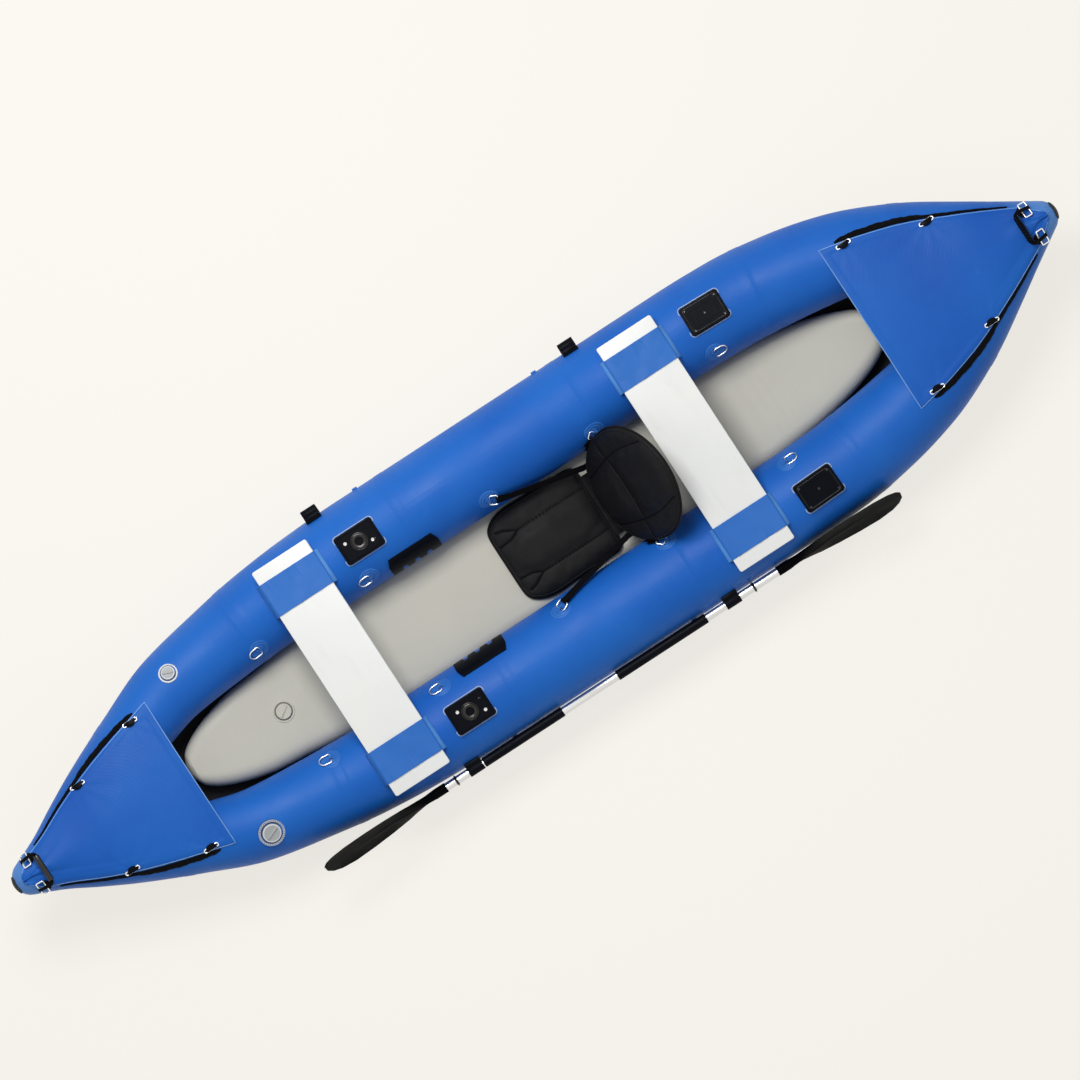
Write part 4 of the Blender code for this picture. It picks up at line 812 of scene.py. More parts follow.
def floor_point(i, j):
    x = floor_x(i / FLOOR_ROWS)
    half = floor_half(x)
    radius = min(FLOOR_THICK / 2, half * 0.8)
    middle = keel_height(x) + FLOOR_GAP + FLOOR_THICK / 2
    quarter = FLOOR_COLUMNS // 4
    side, k = (1, j) if j < 2 * quarter else (-1, j - 2 * quarter)
    if k <= quarter:
        turn = pi / 2 - pi * k / quarter
        y, z = half - radius + radius * cos(turn), radius * sin(turn)
        if abs(turn) < 0.30:
            y += 0.0008
    else:
        y, z = (half - radius) * (1 - 2 * (k - quarter) / quarter), -radius
    return Vector((x, side * y, middle + side * z))


air_floor = laid_grid("air_floor_bag", FLOOR_ROWS, FLOOR_COLUMNS, floor_point, 2.7, 0.9,
                      wrap=True, cap=True)
finished(smooth(air_floor, 60), floor_cloth, replaces="air_floor")
print("air floor faces", len(air_floor.data.polygons))

# %% [markdown]
# ## Spray decks
# Each deck is a triangle of boat cloth, stretched over the two tubes and crowned a little between
# them. Its two sides end in a doubled hem with pale piping, and the cloth puckers gently where the
# rings pull. A sheet could be draped by simulation, but a taut welded one is better laid by rule:
# the columns of a grid crowd together at the hems, where the height changes quickly.

# %% Deck surfaces
DECKS = {"bow": {"inner": 1.316, "tip": 1.940, "angles": (16, 52), "ease": 1.0,
                 "rings": (0.117, 0.511), "handle": (1.888, 0.047), "bar": 1.860},
         "stern": {"inner": -1.274, "tip": -1.940, "angles": (12, 50), "ease": 1.5,
                   "rings": (0.114, 0.502), "handle": (-1.877, 0.048), "bar": -1.848}}
DECK_CLOTH, HEM_WIDTH, HEM_LIFT = 0.003, 0.022, 0.002


def inside_ends(x):
    return clamp(x, STERN_END, BOW_END)


def deck_height(x, y):
    """Height of the taut deck's underside: crowned between the crests, then on the tube."""
    station, _ = tube_above(x, tube_spread(inside_ends(x)))
    crest = on_tube(station, 0.0)
    if abs(y) <= crest.y:
        return crest.z + 0.010 * (1 - (y / max(crest.y, 1e-4)) ** 2)
    return surface_height(x, abs(y))


def hem_spread(deck, x):
    share = clamp((x - deck["inner"]) / (deck["tip"] - deck["inner"]))
    first, last = deck["angles"]
    angle = radians(first + (last - first) * share ** deck["ease"])
    end = inside_ends(x)
    return tube_spread(end) + tube_radius(end) * sin(angle)


def deck_edge(deck, share):
    x = deck["inner"] + (deck["tip"] - deck["inner"]) * share
    return x, hem_spread(deck, x) * (1 - 0.75 * max(0.0, (share - 0.9) / 0.1) ** 2)


def hem_rise(distance, scale=1.0):
    """Height of the doubled hem at a distance from the cloth's edge, its rim rolled down."""
    d = distance / scale
    rim = min(1.0, 0.35 + 0.65 * sqrt(max(d, 0.0) / 0.0022))
    fall = clamp((HEM_WIDTH + 0.004 - d) / 0.012)
    return (DECK_CLOTH + HEM_LIFT * fall) * rim


def ring_places(deck):
    """Plan points of a deck's four hem rings and two handle rings."""
    places = []
    for share in deck["rings"]:
        x = deck["inner"] + (deck["tip"] - deck["inner"]) * share
        places += [(x, side * (hem_spread(deck, x) - 0.010)) for side in (1, -1)]
    return places + [(deck["handle"][0], side * deck["handle"][1]) for side in (1, -1)]


def pucker(deck, x, y):
    """Small folds that spread from the rings and die out."""
    lift = 0.0
    for ring_x, ring_y in ring_places(deck):
        dx, dy = x - ring_x, y - ring_y
        away = sqrt(dx * dx + dy * dy)
        fan = cos(9 * atan2(dy, dx) + 3 * ring_x) * min(away / 0.03, 1.0)
        lift += 0.0011 * fan * 2.7 ** (-away / 0.075)
    return lift + sin(11 * x + 2) * cos(7 * y) * 0.0010


EDGE_STEPS = [0, 0.0008, 0.0022, 0.006, 0.014, 0.0205, 0.0222, 0.024, 0.027]
SHEET_COLUMNS, SHEET_ROWS = 60, 84


def deck_steps(total, count):
    """Distances from an edge: crowded over the hem, then even."""
    rest = count - len(EDGE_STEPS) + 1
    last = EDGE_STEPS[-1]
    return EDGE_STEPS[:-1] + [last + (total - last) * k / rest for k in range(rest + 1)]


def deck_point(deck, i, j):
    length = abs(deck["tip"] - deck["inner"])
    from_inner = deck_steps(length, SHEET_ROWS)[i]
    x, half = deck_edge(deck, from_inner / length)
    squeeze = min(1.0, half * 0.4 / HEM_WIDTH)
    middle = SHEET_COLUMNS // 2
    k = min(j, SHEET_COLUMNS - j)
    steps = deck_steps(half / squeeze, middle)
    from_side = steps[k] * squeeze
    y = (half - from_side) * (1 if j < middle else -1)
    side_rise, inner_rise = hem_rise(from_side, squeeze), hem_rise(from_inner)
    rise = side_rise if k < 3 else max(side_rise, inner_rise)
    if i < 3:
        rise = min(rise, inner_rise)
    free = clamp(min(from_side, from_inner) / 0.03)
    return Vector((x, y, deck_height(x, y) + rise + pucker(deck, x, y) * free))


def make_deck(name, deck):
    sheet = laid_grid(f"{name}_deck_cloth", SHEET_ROWS, SHEET_COLUMNS,
                      lambda i, j: deck_point(deck, i, j), 0.66, 0.66)
    thicken(sheet, 0.0011, lambda face: face.normal.z * face.area, inside=True)
    finished(smooth(tidy(sheet), 50), deck_cloth, replaces=f"{name}_deck")
    width = 2 * deck_edge(deck, 0.0)[1]


def line_along(name, points, radius, closed=False, sides=3):
    """A thin round line through points, made as a curve with a bevel and then a mesh."""
    curve = bpy.data.curves.new(name, "CURVE")
    curve.dimensions = "3D"
    curve.bevel_depth = radius
    curve.bevel_resolution = sides
    curve.use_fill_caps = not closed
    spline = curve.splines.new("POLY")
    spline.points.add(len(points) - 1)
    for spot, point in zip(spline.points, points):
        spot.co = (*point, 1.0)
    spline.use_cyclic_u = closed
    alone(linked(name, curve))
    bpy.ops.object.convert(target="MESH")
    return smooth(tidy(bpy.context.active_object, 1e-7), 60)


EDGE_COUNT, INNER_COUNT = 60, 20


def edge_line(deck, inset):
    """Plan points of a line that runs inset from the cloth's edge: inner edge, then one side."""
    way = 1 if deck["tip"] > 0 else -1
    start = deck["inner"] + way * inset
    length = abs(deck["tip"] - deck["inner"])
    side = []
    for k in range(EDGE_COUNT + 1):
        share = inset / length + (0.985 - inset / length) * k / EDGE_COUNT
        x, half = deck_edge(deck, share)
        side.append((x, half - inset * min(1.0, half * 0.4 / HEM_WIDTH)))
    across = [(start, side[0][1] * (1 - k / INNER_COUNT)) for k in range(1, INNER_COUNT + 1)]
    return across[::-1] + side


for name, deck in DECKS.items():
    make_deck(name, deck)
    line = line_along(f"{name}_deck_edge", [(x, y, deck_height(x, y) + 0.0024)
                                            for x, y in edge_line(deck, 0.0004)], 0.0021)
    both_sides(line, piping_cloth, f"{name}_deck_edge")

# %% [markdown]
# ## Hem tabs and rings
# On the hems sit half-round tabs of black rubberised cloth, their straight side outwards. Each
# covers a narrow steel link, whose two ends show beside the tab. One tab and one link are modelled
# at the origin and copied to their places. The tab starts as a flat cylinder, is cut straight with
# bisect and gets a soft edge from a bevel. Rings are bent wire: a curve through their corners.

# %% Tabs and rings
RING_WIRE = 0.0023
TAB_RADIUS, TAB_FRONT, TAB_HEIGHT = 0.0195, 0.004, 0.0034


ARC_STEPS = 14


def d_path(width, depth, corner):
    """Centre line of a D-ring: its bar on the Y axis, its bow towards +X."""
    half = width / 2
    reach = max(depth - half, corner + RING_WIRE)
    path = []
    for k in range(6):
        turn = pi + pi / 2 * k / 5
        path.append((corner + corner * cos(turn), corner - half + corner * sin(turn)))
    for k in range(ARC_STEPS + 1):
        turn = -pi / 2 + pi * k / ARC_STEPS
        path.append((reach + (depth - reach) * cos(turn), half * sin(turn)))
    return path + [(x, -y) for x, y in path[5::-1]]


def oblong_path(width, depth, corner):
    path = []
    for quarter, (sx, sy) in enumerate(((1, 1), (-1, 1), (-1, -1), (1, -1))):
        for k in range(7):
            turn = (quarter + k / 6) * pi / 2
            path.append((depth / 2 + sx * (depth / 2 - corner) + corner * cos(turn),
                         sy * (width / 2 - corner) + corner * sin(turn)))
    return path


def wire_ring(name, plan):
    return line_along(name, [(x, y, 0) for x, y in plan], RING_WIRE, closed=True, sides=5)


def disc(name, radius, low, high, sides):
    alone()
    bpy.ops.mesh.primitive_cylinder_add(vertices=sides, radius=radius, depth=high - low,
                                        location=(0, 0, (low + high) / 2))
    return put(added(name))


def half_round_tab(name):
    tab = disc(name, TAB_RADIUS, 0, TAB_HEIGHT, 48)
    with editing(tab):
        bpy.ops.mesh.bisect(plane_co=(TAB_FRONT, 0, 0), plane_no=(1, 0, 0), clear_outer=True,
                            use_fill=True)
    put(tab, Matrix.Scale(0.85, 4, (1, 0, 0)))
    return smooth(tidy(soften(tab, 0.0011, 3, 50)))


def deck_seat(x, y, forward):
    step = 0.01
    slope_x = (deck_height(x + step, y) - deck_height(x - step, y)) / (2 * step)
    slope_y = (deck_height(x, y + step) - deck_height(x, y - step)) / (2 * step)
    normal = Vector((-slope_x, -slope_y, 1)).normalized()
    return frame_at(Vector((x, y, deck_height(x, y))), forward - normal * forward.dot(normal),
                    normal)


tab_model = half_round_tab("tab_model")
hem_ring = wire_ring("hem_ring_model", oblong_path(0.050, 0.011, 0.0045))
handle_ring = wire_ring("handle_ring_model", oblong_path(0.050, 0.024, 0.0035))
TAB_FOOT = DECK_CLOTH + HEM_LIFT - 0.0004
HANDLE_TOP = DECK_CLOTH + HEM_LIFT + 0.003 + 0.003
NOSE_HEIGHT = HANDLE_TOP - TAB_FOOT - 0.001
for name, deck in DECKS.items():
    for number, (x, y) in enumerate(ring_places(deck)):
        if number < 4:
            label, model, out = f"{name}_hem_{number}", hem_ring, Vector((0, 1 if y > 0 else -1, 0))
            ahead, back, height, tab_height = 0.003, -0.0085, TAB_HEIGHT, TAB_HEIGHT + 2 * RING_WIRE
        else:
            label, model = f"{name}_nose_{'port' if y > 0 else 'starboard'}", handle_ring
            out = Vector((1 if x > 0 else -1, 0, 0))
            ahead, back, height, tab_height = 0, 0, NOSE_HEIGHT, NOSE_HEIGHT
        seat = deck_seat(x, y, out) @ shift(ahead, 0, TAB_FOOT)
        tall = Matrix.Diagonal((1, 1, (tab_height + 0.0004) / TAB_HEIGHT, 1))
        finished(copy_of(tab_model, f"{label}_tab", seat @ tall), black_nylon)
        finished(copy_of(model, f"{label}_ring", seat @ shift(back, 0, height + 0.3 * RING_WIRE)),
                 steel)
discard(tab_model, hem_ring, handle_ring)
print("hem rings ready")

# %% [markdown]
# ## Black lines beside the hems
# A black band lies in the gutter outside each hem, where the CAD model has its deck line. It is
# painted shadow: black cloth for the shade that the hem casts on the tube. It is thick near the
# inner rings and thins towards the nose, with a slightly wavy outer side. A strip of grid is
# wrapped round a low oval section that swells and shrinks along the path.

# %% Deck lines
def wrapped_band(name, points, ups, sections, length, wrap_length):
    """A closed band along points. A section is a list of (sideways, upward) places."""
    count = len(points) - 1

    def place(i, j):
        ahead, behind = points[min(i + 1, count)], points[max(i - 1, 0)]
        along = (ahead - behind).normalized()
        up = (ups[i] - along * ups[i].dot(along)).normalized()
        a, b = sections[i][j % len(sections[i])]
        return points[i] + along.cross(up) * a + up * b

    return laid_grid(name, count, len(sections[0]), place, length, wrap_length, wrap=True, cap=True)


LINE_SHARES = [0.0, 0.03, 0.10, 0.30, 0.46, 0.54, 0.62, 0.80, 1.0]
LINE_SWELLS = [0.25, 0.60, 0.85, 1.0, 0.92, 0.62, 0.56, 0.46, 0.25]
LINE_ROWS = 60
DOME = [(cos(pi + pi * k / 10), -0.0041 * sin(pi + pi * k / 10)) for k in range(11)]
DOME += [(0.5, 0.0), (-0.5, 0.0)]


def deck_line(name, deck):
    points, ups, sections = [], [], []
    for k in range(LINE_ROWS + 1):
        share = 0.08 + 0.78 * k / LINE_ROWS
        x, half = deck_edge(deck, share)
        x2, half2 = deck_edge(deck, share + 0.01)
        across = Vector((half - half2, x2 - x, 0)).normalized()
        across = across if across.y > 0 else -across
        width = 0.023 * float(np.interp(k / LINE_ROWS, LINE_SHARES, LINE_SWELLS))
        width *= 1 + 0.05 * sin(k * 0.9) + 0.04 * sin(k * 2.3 + 1)
        place = Vector((x, half, 0)) + across * (width / 2 + 0.0024)
        spot = tube_above(place.x, place.y)
        points.append(on_tube(*spot, 0.0002))
        ups.append(tube_normal(*spot))
        sections.append([(width / 2 * a, b) for a, b in DOME])
    line = wrapped_band(f"{name}_deck_line", points, ups, sections, 0.55, 0.05)
    # The band is painted shadow, in black webbing.
    both_sides(line, black_webbing, f"{name}_deck_shadow_band", f"{name}_deck_line")


for name, deck in DECKS.items():
    deck_line(name, deck)

# %% [markdown]
# ## Ring patches and keepers
# A free D-ring is held by a folded loop of boat cloth on a round patch, which is pressed in rings
# and welded to the inner shoulder of the tube. The patch has to follow the tube, so its polar grid
# is laid round the tube by angle. The keeper is a strip of cloth that climbs over the ring's bar.

# %% Patches and keepers
FREE_RINGS = (("bow", 0.919, 1), ("mid", 0.498, 1), ("stern", -0.825, -1))
RING_SPREAD = 0.210
RING_HEIGHT = 0.002 + 0.0003 + RING_WIRE
PATCH_RADIUS, PATCH_RINGS, PATCH_SPOKES = 0.036, 24, 48


def ring_patch(name, x):
    station, angle = tube_above(x, RING_SPREAD)
    size = tube_radius(station)

    def place(i, j):
        r = PATCH_RADIUS * i / PATCH_RINGS
        turn = 2 * pi * j / PATCH_SPOKES
        ripple = 0.0009 * cos(2 * pi * r / 0.0105) if 0.006 < r < 0.031 else 0.0
        lift = {PATCH_RINGS: -0.0006, PATCH_RINGS - 1: 0.0011}.get(i, 0.0016 + ripple)
        return on_tube(station + r * cos(turn), angle + r * sin(turn) / size, lift)

    patch = laid_grid(name, PATCH_RINGS, PATCH_SPOKES, place, PATCH_RADIUS, 0.22, wrap=True)
    both_sides(tidy(patch, 2e-6), sleeve_cloth, name)


def band_section(width, thick):
    """Corners of a flat strap's section with softened edges."""
    w, t = width / 2, thick / 2
    soft = min(t * 0.8, 0.0006)
    return [(-w + soft, -t), (0, -t), (w - soft, -t), (w, -t + soft), (w, t - soft), (w - soft, t),
            (w * 0.5, t * 1.06), (0, t * 1.08), (-w * 0.5, t * 1.06), (-w + soft, t),
            (-w, t - soft), (-w, -t + soft)]


def strap(name, points, ups, width, thick, long):
    """A woven strap along points, its faces square to ups."""
    sections = [band_section(width, thick)] * len(points)
    return wrapped_band(name, points, ups, sections, long, 2 * (width + thick))


def keeper_loop(name, seat):
    half = [(0.014, 0.0026), (0.0095, 0.0028), (0.0068, 0.0038), (0.0046, 0.0068),
            (0.0022, 0.0084), (0.0, 0.0088)]
    plan = [(-a, c) for a, c in half] + half[-2::-1]
    points, ups = [], []
    for k, (a, c) in enumerate(plan):
        ahead, behind = plan[min(k + 1, len(plan) - 1)], plan[max(k - 1, 0)]
        slope = Vector((ahead[0] - behind[0], 0, ahead[1] - behind[1])).normalized()
        points.append(seat @ Vector((a, 0, c)))
        ups.append(seat.to_3x3() @ Vector((-slope.z, 0, slope.x)))
    both_sides(strap(name, points, ups, 0.012, 0.0014, 0.04), sleeve_cloth, name)


free_ring = wire_ring("free_ring_model", d_path(0.036, 0.040, 0.006))
for name, x, way in FREE_RINGS:
    seat = tube_seat(x, RING_SPREAD, way)
    ring_patch(f"{name}_patch", x)
    keeper_loop(f"{name}_keeper", seat)
    both_sides(copy_of(free_ring, "ring", seat @ shift(0, 0, RING_HEIGHT)), steel,
               f"{name}_d_ring", f"{name}_ring", f"{name}_ring_SIDE")
discard(free_ring)

# %% [markdown]
# ## Benches
# The benches are plain boards with rounded corners that rest on both tubes. A cube is added at
# full size. Its four upright edges get a large bevel and all the others a small one.

# %% Bench boards
BENCHES = (("bow", 0.703), ("stern", -0.610))
BENCH_WIDTH, BENCH_LENGTH, BENCH_THICK = 0.205, 0.850, 0.018
HALF_BOARD = BENCH_WIDTH / 2
bench_rest = {name: max(on_tube(x + d, 0).z for d in (-HALF_BOARD, 0, HALF_BOARD)) + 0.0003
              for name, x in BENCHES}


def block(name, size, middle):
    """A cube of this size, its object at the origin."""
    alone()
    bpy.ops.mesh.primitive_cube_add(size=1, location=middle)
    piece = added(name)
    bpy.ops.transform.resize(value=size)
    return put(piece)


def round_corners(piece, radius, segments=8):
    """A bevel on the upright edges only."""

    def upright(edge, points):
        a, b = (points[k] for k in edge.vertices)
        return abs(a.x - b.x) < 1e-6 and abs(a.y - b.y) < 1e-6

    with editing(piece, "edges", upright):
        bpy.ops.mesh.bevel(offset=radius, segments=segments, affect="EDGES")
    return piece


for name, x in BENCHES:
    board = block(f"{name}_bench_board", (BENCH_WIDTH, BENCH_LENGTH, BENCH_THICK),
                  (x, 0, bench_rest[name] + BENCH_THICK / 2))
    board = soften(round_corners(board, 0.007), 0.0022, 4, 60)
    finished(smooth(tidy(board)), board_white, f"{name}_bench", f"{name}_bench")
print("bench top at", round(bench_rest["bow"] + BENCH_THICK, 4), "m")

# %% [markdown]
# ## Bench sleeves
# Each board end is held by a wide loop of boat cloth. It is welded to the tube by a flange on
# either side, drawn tight over the board, and creased a little by the load. The section of one
# loop is a list of points: flange, slanting side, rounded edge and top. Two pale strips lie on
# the slanting sides: painted highlight, where the slanting sides catch the light.

# %% Sleeves
SLEEVE_INNER, SLEEVE_OUTER, SLEEVE_ROWS = 0.260, 0.378, 30
HIGHLIGHT_ROWS, HIGHLIGHT_COLUMNS = 24, 6
FLANGE = 0.0124


def sleeve_section(x, y, top):
    """Points of a sleeve's section at y, as (x, z): from the stern flange to the bow flange."""
    left = []
    for out, rise in ((0.0148, 0.0001), (0.0142, 0.0004), (0.0134, 0.0008), (FLANGE, 0.0016)):
        left.append((-HALF_BOARD - out, surface_height(x - HALF_BOARD - out, y) + rise))
    foot = left[-1][1]
    for share in (0.25, 0.5, 0.8):
        left.append((-HALF_BOARD - FLANGE + 0.0112 * share, foot + (top - 0.003 - foot) * share))
    left += [(-HALF_BOARD - 0.0008, top - 0.0024), (-HALF_BOARD + 0.0010, top - 0.0004)]
    right = [(-a, surface_height(x - a, y) + b - surface_height(x + a, y) if k < 4 else b)
             for k, (a, b) in enumerate(left)]
    across = [(HALF_BOARD * (2 * k / 67 - 1) * 0.97, top) for k in range(68)]
    return left + across + right[::-1]


for name, x in BENCHES:
    top = bench_rest[name] + BENCH_THICK + 0.0008
    sections = []
    for i in range(SLEEVE_ROWS + 1):
        y = SLEEVE_INNER + (SLEEVE_OUTER - SLEEVE_INNER) * i / SLEEVE_ROWS
        sections.append((y, sleeve_section(x, y, top)))
    columns = len(sections[0][1]) - 1

    def sleeve_point(i, j):
        y, section = sections[i]
        a, z = section[j]
        if 8 < j < columns - 8:
            t = i / SLEEVE_ROWS
            near_end = max(0.0, 1 - min(i, SLEEVE_ROWS - i) / 9)
            z += 0.0008 * near_end * (1 + sin(a * 90 + 2.4 * t))
            z += 0.0005 * (1 + sin(a * 46 + 5.0 * t + 1.0))
            for crease, lean in ((-0.048, 0.022), (0.012, -0.014), (0.062, 0.016)):
                aside = (a - crease - lean * t) / 0.0045
                z += 0.0026 * max(0.0, t - 0.45) * max(0.0, 1 - aside * aside)
        return Vector((x + a, y, z))

    sleeve = laid_grid(f"{name}_sleeve", SLEEVE_ROWS, columns, sleeve_point, 0.12, 0.30)
    thicken(sleeve, 0.0014, lambda face: face.normal.z * face.area)
    both_sides(smooth(tidy(sleeve), 50), sleeve_cloth, f"{name}_sleeve_cloth", f"{name}_sleeve")
    # The two strips on the slanting sides carry painted highlight.
    for end, way in (("stern", -1), ("bow", 1)):

        def highlight_strip_point(i, j):
            y = SLEEVE_INNER - 0.001 + (SLEEVE_OUTER - SLEEVE_INNER + 0.002) * i / HIGHLIGHT_ROWS
            t = 0.06 + 0.86 * j / HIGHLIGHT_COLUMNS
            a = HALF_BOARD + 0.0136 - 0.0112 * t
            foot = surface_height(x + way * (HALF_BOARD + FLANGE), y) + 0.0016
            rim = 0.0005 if j in (0, HIGHLIGHT_COLUMNS) or i in (0, HIGHLIGHT_ROWS) else 0.0
            return Vector((x + way * a, y, foot + (top - 0.003 - foot) * t + 0.0012 - rim))

        highlight_strip = laid_grid(f"{name}_{end}_tape", HIGHLIGHT_ROWS, HIGHLIGHT_COLUMNS, highlight_strip_point, 0.13, 0.012)
        modify(highlight_strip, "SOLIDIFY", thickness=0.0012, offset=0.0)
        both_sides(smooth(tidy(highlight_strip)), sleeve_strip_highlight, f"{name}_sleeve_{end}_tape")
print("sleeves ready")

# %% [markdown]
# ## Accessory plates
# Four black plates are glued to the tops of the tubes. The bow pair has a round socket for a rod
# rest, a raised frame, two white screws and a small oblong key. The stern pair is flat, with a
# thin tray and four screws. Each starts as a cube: corners bevelled, top inset and pushed down to
# leave a border. The socket is a cylinder whose top is inset, raised and sunk.

# %% Plates
PLATES = (("bow", 0.460, 0.3245), ("stern", -0.863, 0.335))
PLATE_TOP, TRAY_TOP, COLLAR_TOP = 0.00695, 0.0072, 0.0088
SCREW_FOOT = 0.0052
WHITE_SCREWS = {"port": ((0.036, -0.019), (-0.045, 0.022)),
                "starboard": ((0.043, 0.017), (-0.039, -0.019))}


def top_face(height):
    return lambda face, _: face.normal.z > 0.9 and abs(face.center.z - height) < 1e-4


def sink(rims, depth, straight=False):
    """Insets the selected face by each width in turn. Then it goes down, or is extruded."""
    for rim in rims:
        bpy.ops.mesh.inset(thickness=rim)
    if straight:
        bpy.ops.mesh.extrude_region_move(TRANSFORM_OT_translate={"value": (0, 0, -depth)})
    else:
        bpy.ops.transform.translate(value=(0, 0, -depth))


def tile(name, size, top, corner):
    """A flat block with rounded corners whose upper face is at this height."""
    return round_corners(block(name, size, (0, 0, top - size[2] / 2)), corner)


def sink_top(piece, height, rim, depth):
    """Leaves a border of this width round the top face and pushes the rest down."""
    with editing(piece, "faces", top_face(height)):
        sink((rim, 0.0008), depth)
    return smooth(tidy(piece))


def plate_blank(name):
    plate = soften(tile(name, (0.140, 0.100, 0.0175), PLATE_TOP, 0.010), 0.0016, 3, 60)
    return sink_top(plate, PLATE_TOP, 0.0040, 0.0012)


def frame_line(name, height, radius):
    """A raised line round a rounded oblong, flat on a plate."""
    path = [(x - 0.061, y, height) for x, y in oblong_path(0.083, 0.122, 0.010)]
    return line_along(name, path, radius, closed=True)


def socket(name):
    """A collar on the plate with a raised hub and a bore in it."""
    hub = disc(name, 0.0285, 0.004, COLLAR_TOP, 56)
    with editing(hub, "faces", top_face(COLLAR_TOP)):
        sink((0.0022, 0.0010), 0.0016)
        sink((0.0022,), -0.0075, straight=True)
        sink((0.0032, 0.0012), 0.0018)
        sink((0.0042,), 0.0080, straight=True)
    return smooth(tidy(soften(hub, 0.0006, 2, 35)))


def screw(name, radius, height):
    head = disc(name, radius, 0, height, 24)
    with editing(head, "faces", top_face(height)):
        sink((radius * 0.45,), height * 0.45)
    return smooth(tidy(soften(head, 0.0005, 2, 50)))


def plate_rim(name, x, y):
    """The pale line of weld that shows round a plate, on the tube."""
    seat = tube_seat(x, y)
    points = []
    for a, b in oblong_path(0.1055, 0.1455, 0.0125):
        flat = seat @ Vector((a - 0.07275, b, 0))
        points.append(Vector((flat.x, flat.y, surface_height(flat.x, flat.y) + 0.0004)))
    return line_along(name, points, 0.0019, closed=True)


screw_model = screw("screw_model", 0.0042, 0.0022)
white_screw = screw("white_screw_model", 0.0056, 0.0030)
for name, x, y in PLATES:
    seat = tube_seat(x, y)
    both_sides(put(plate_blank(f"{name}_plate"), seat), black_nylon, f"{name}_plate_block",
               f"{name}_plate")
    both_sides(plate_rim(f"{name}_rim", x, y), pale_rim, f"{name}_plate_rim")
    if name == "bow":
        both_sides(put(socket("socket"), seat), gloss_black, "socket")
        extras = (frame_line("socket_frame", 0.0060, 0.0012),
                  block("key", (0.009, 0.005, 0.003), (-0.047, -0.020, 0.0066)))
        smooth(soften(extras[1], 0.001, 3))
        for side, mirror in (("port", Matrix.Identity(4)), ("starboard", PORT_TO_STARBOARD)):
            for number, (a, b) in enumerate(WHITE_SCREWS[side]):
                place = mirror @ seat @ shift(a, b, 0.0050)
                finished(copy_of(white_screw, f"white_screw_{side}_{number}", place), white_dot)
    else:
        tray = tile("tray", (0.098, 0.060, 0.0030), TRAY_TOP, 0.009)
        extras = (sink_top(tray, TRAY_TOP, 0.0035, 0.0010),
                  frame_line("tray_frame", 0.0058, 0.0010),
                  copy_of(screw_model, "tray_dot", shift(0, 0, SCREW_FOOT)))
        for number, (sx, sy) in enumerate(((1, 1), (1, -1), (-1, 1), (-1, -1))):
            head = copy_of(screw_model, "corner_screw",
                           seat @ shift(sx * 0.0545, sy * 0.0355, SCREW_FOOT))
            both_sides(head, gloss_black, f"{name}_screw_{number}")
    for piece in extras:
        both_sides(put(piece, seat), black_nylon if piece is extras[0] else gloss_black, piece.name)
discard(screw_model, white_screw)
print("plates ready")

# %% [markdown]
# ## Foot rest racks
# Two black notched strips lie on the inner shoulders ahead of the seat. The real one is a thick
# strap of nylon that follows the tube. A grid is laid on the tube between a straight outer edge
# and an inner edge with three notches, and Solidify gives it its thickness.

# %% Racks
RACK_MIDDLE, RACK_HALF = 0.337, 0.092
RACK_ROWS, RACK_COLUMNS = 138, 12


def rack_point(i, j):
    along = -RACK_HALF + 2 * RACK_HALF * i / RACK_ROWS
    notch = max(clamp((0.0105 - abs(along - middle)) / 0.004) for middle in (-0.046, 0.0, 0.046))
    slope = max(0.0, (abs(along) - (RACK_HALF - 0.010)) / 0.010)
    inner, outer = 0.1765 + 0.007 * notch, 0.224 - 0.022 * slope
    y = outer + (inner - outer) * j / RACK_COLUMNS
    rim = 0.0009 if j in (0, RACK_COLUMNS) or i in (0, RACK_ROWS) else 0.0
    rib = 0.0007 if 0.30 < j / RACK_COLUMNS < 0.45 and abs(along) < 0.08 else 0.0
    return on_tube(*tube_above(RACK_MIDDLE + along, y), 0.0060 - rim + rib)


rack = laid_grid("rack", RACK_ROWS, RACK_COLUMNS, rack_point, 0.184, 0.045)
thicken(rack, 0.0056, lambda face: face.normal.dot(
    face.center - Vector((face.center.x, 0.3245, 0.155))), inside=True)
both_sides(smooth(tidy(rack)), black_nylon, "rack", "foot_rack")

# %% [markdown]
# ## Valves
# An air valve is a round body welded into the cloth, with a cap that twists off by a ridge across
# it. Turned parts are made with spin: a profile of edges is swept once round. The large port valve
# has a rim of small teeth, modelled once and set round the body thirty-six times.

# %% Valves
def spun(name, profile, steps=72):
    """A profile of (radius, height) points turned about the Z axis."""
    mesh = bpy.data.meshes.new(name)
    mesh.from_pydata([(r, 0, z) for r, z in profile],
                     [(k, k + 1) for k in range(len(profile) - 1)], [])
    piece = linked(name, mesh)
    with editing(piece):
        bpy.ops.mesh.spin(steps=steps, angle=2 * pi, center=(0, 0, 0), axis=(0, 0, 1))
    return smooth(tidy(piece, 2e-6))


def joined(name, pieces):
    """Several pieces as one mesh."""
    alone(pieces[0])
    for piece in pieces:
        piece.select_set(True)
    bpy.ops.object.join()
    return added(name)


def tooth_ring(name, radius, count, size):
    model = soften(block("tooth_model", size, (radius, 0, 0)), min(size) * 0.2, 1)
    teeth = [copy_of(model, f"tooth_{k}", Matrix.Rotation(2 * pi * k / count, 4, "Z"))
             for k in range(count)]
    discard(model)
    return joined(name, teeth)


def valve_flange(name, r):
    """The rounded outer ring of a valve body."""
    return spun(name, [(r * 0.83, -0.004), (r, -0.004), (r, 0.0010), (r * 0.985, 0.0018),
                       (r * 0.955, 0.0022), (r * 0.865, 0.0022), (r * 0.845, 0.0016),
                       (r * 0.83, 0.0004), (r * 0.83, -0.004)])


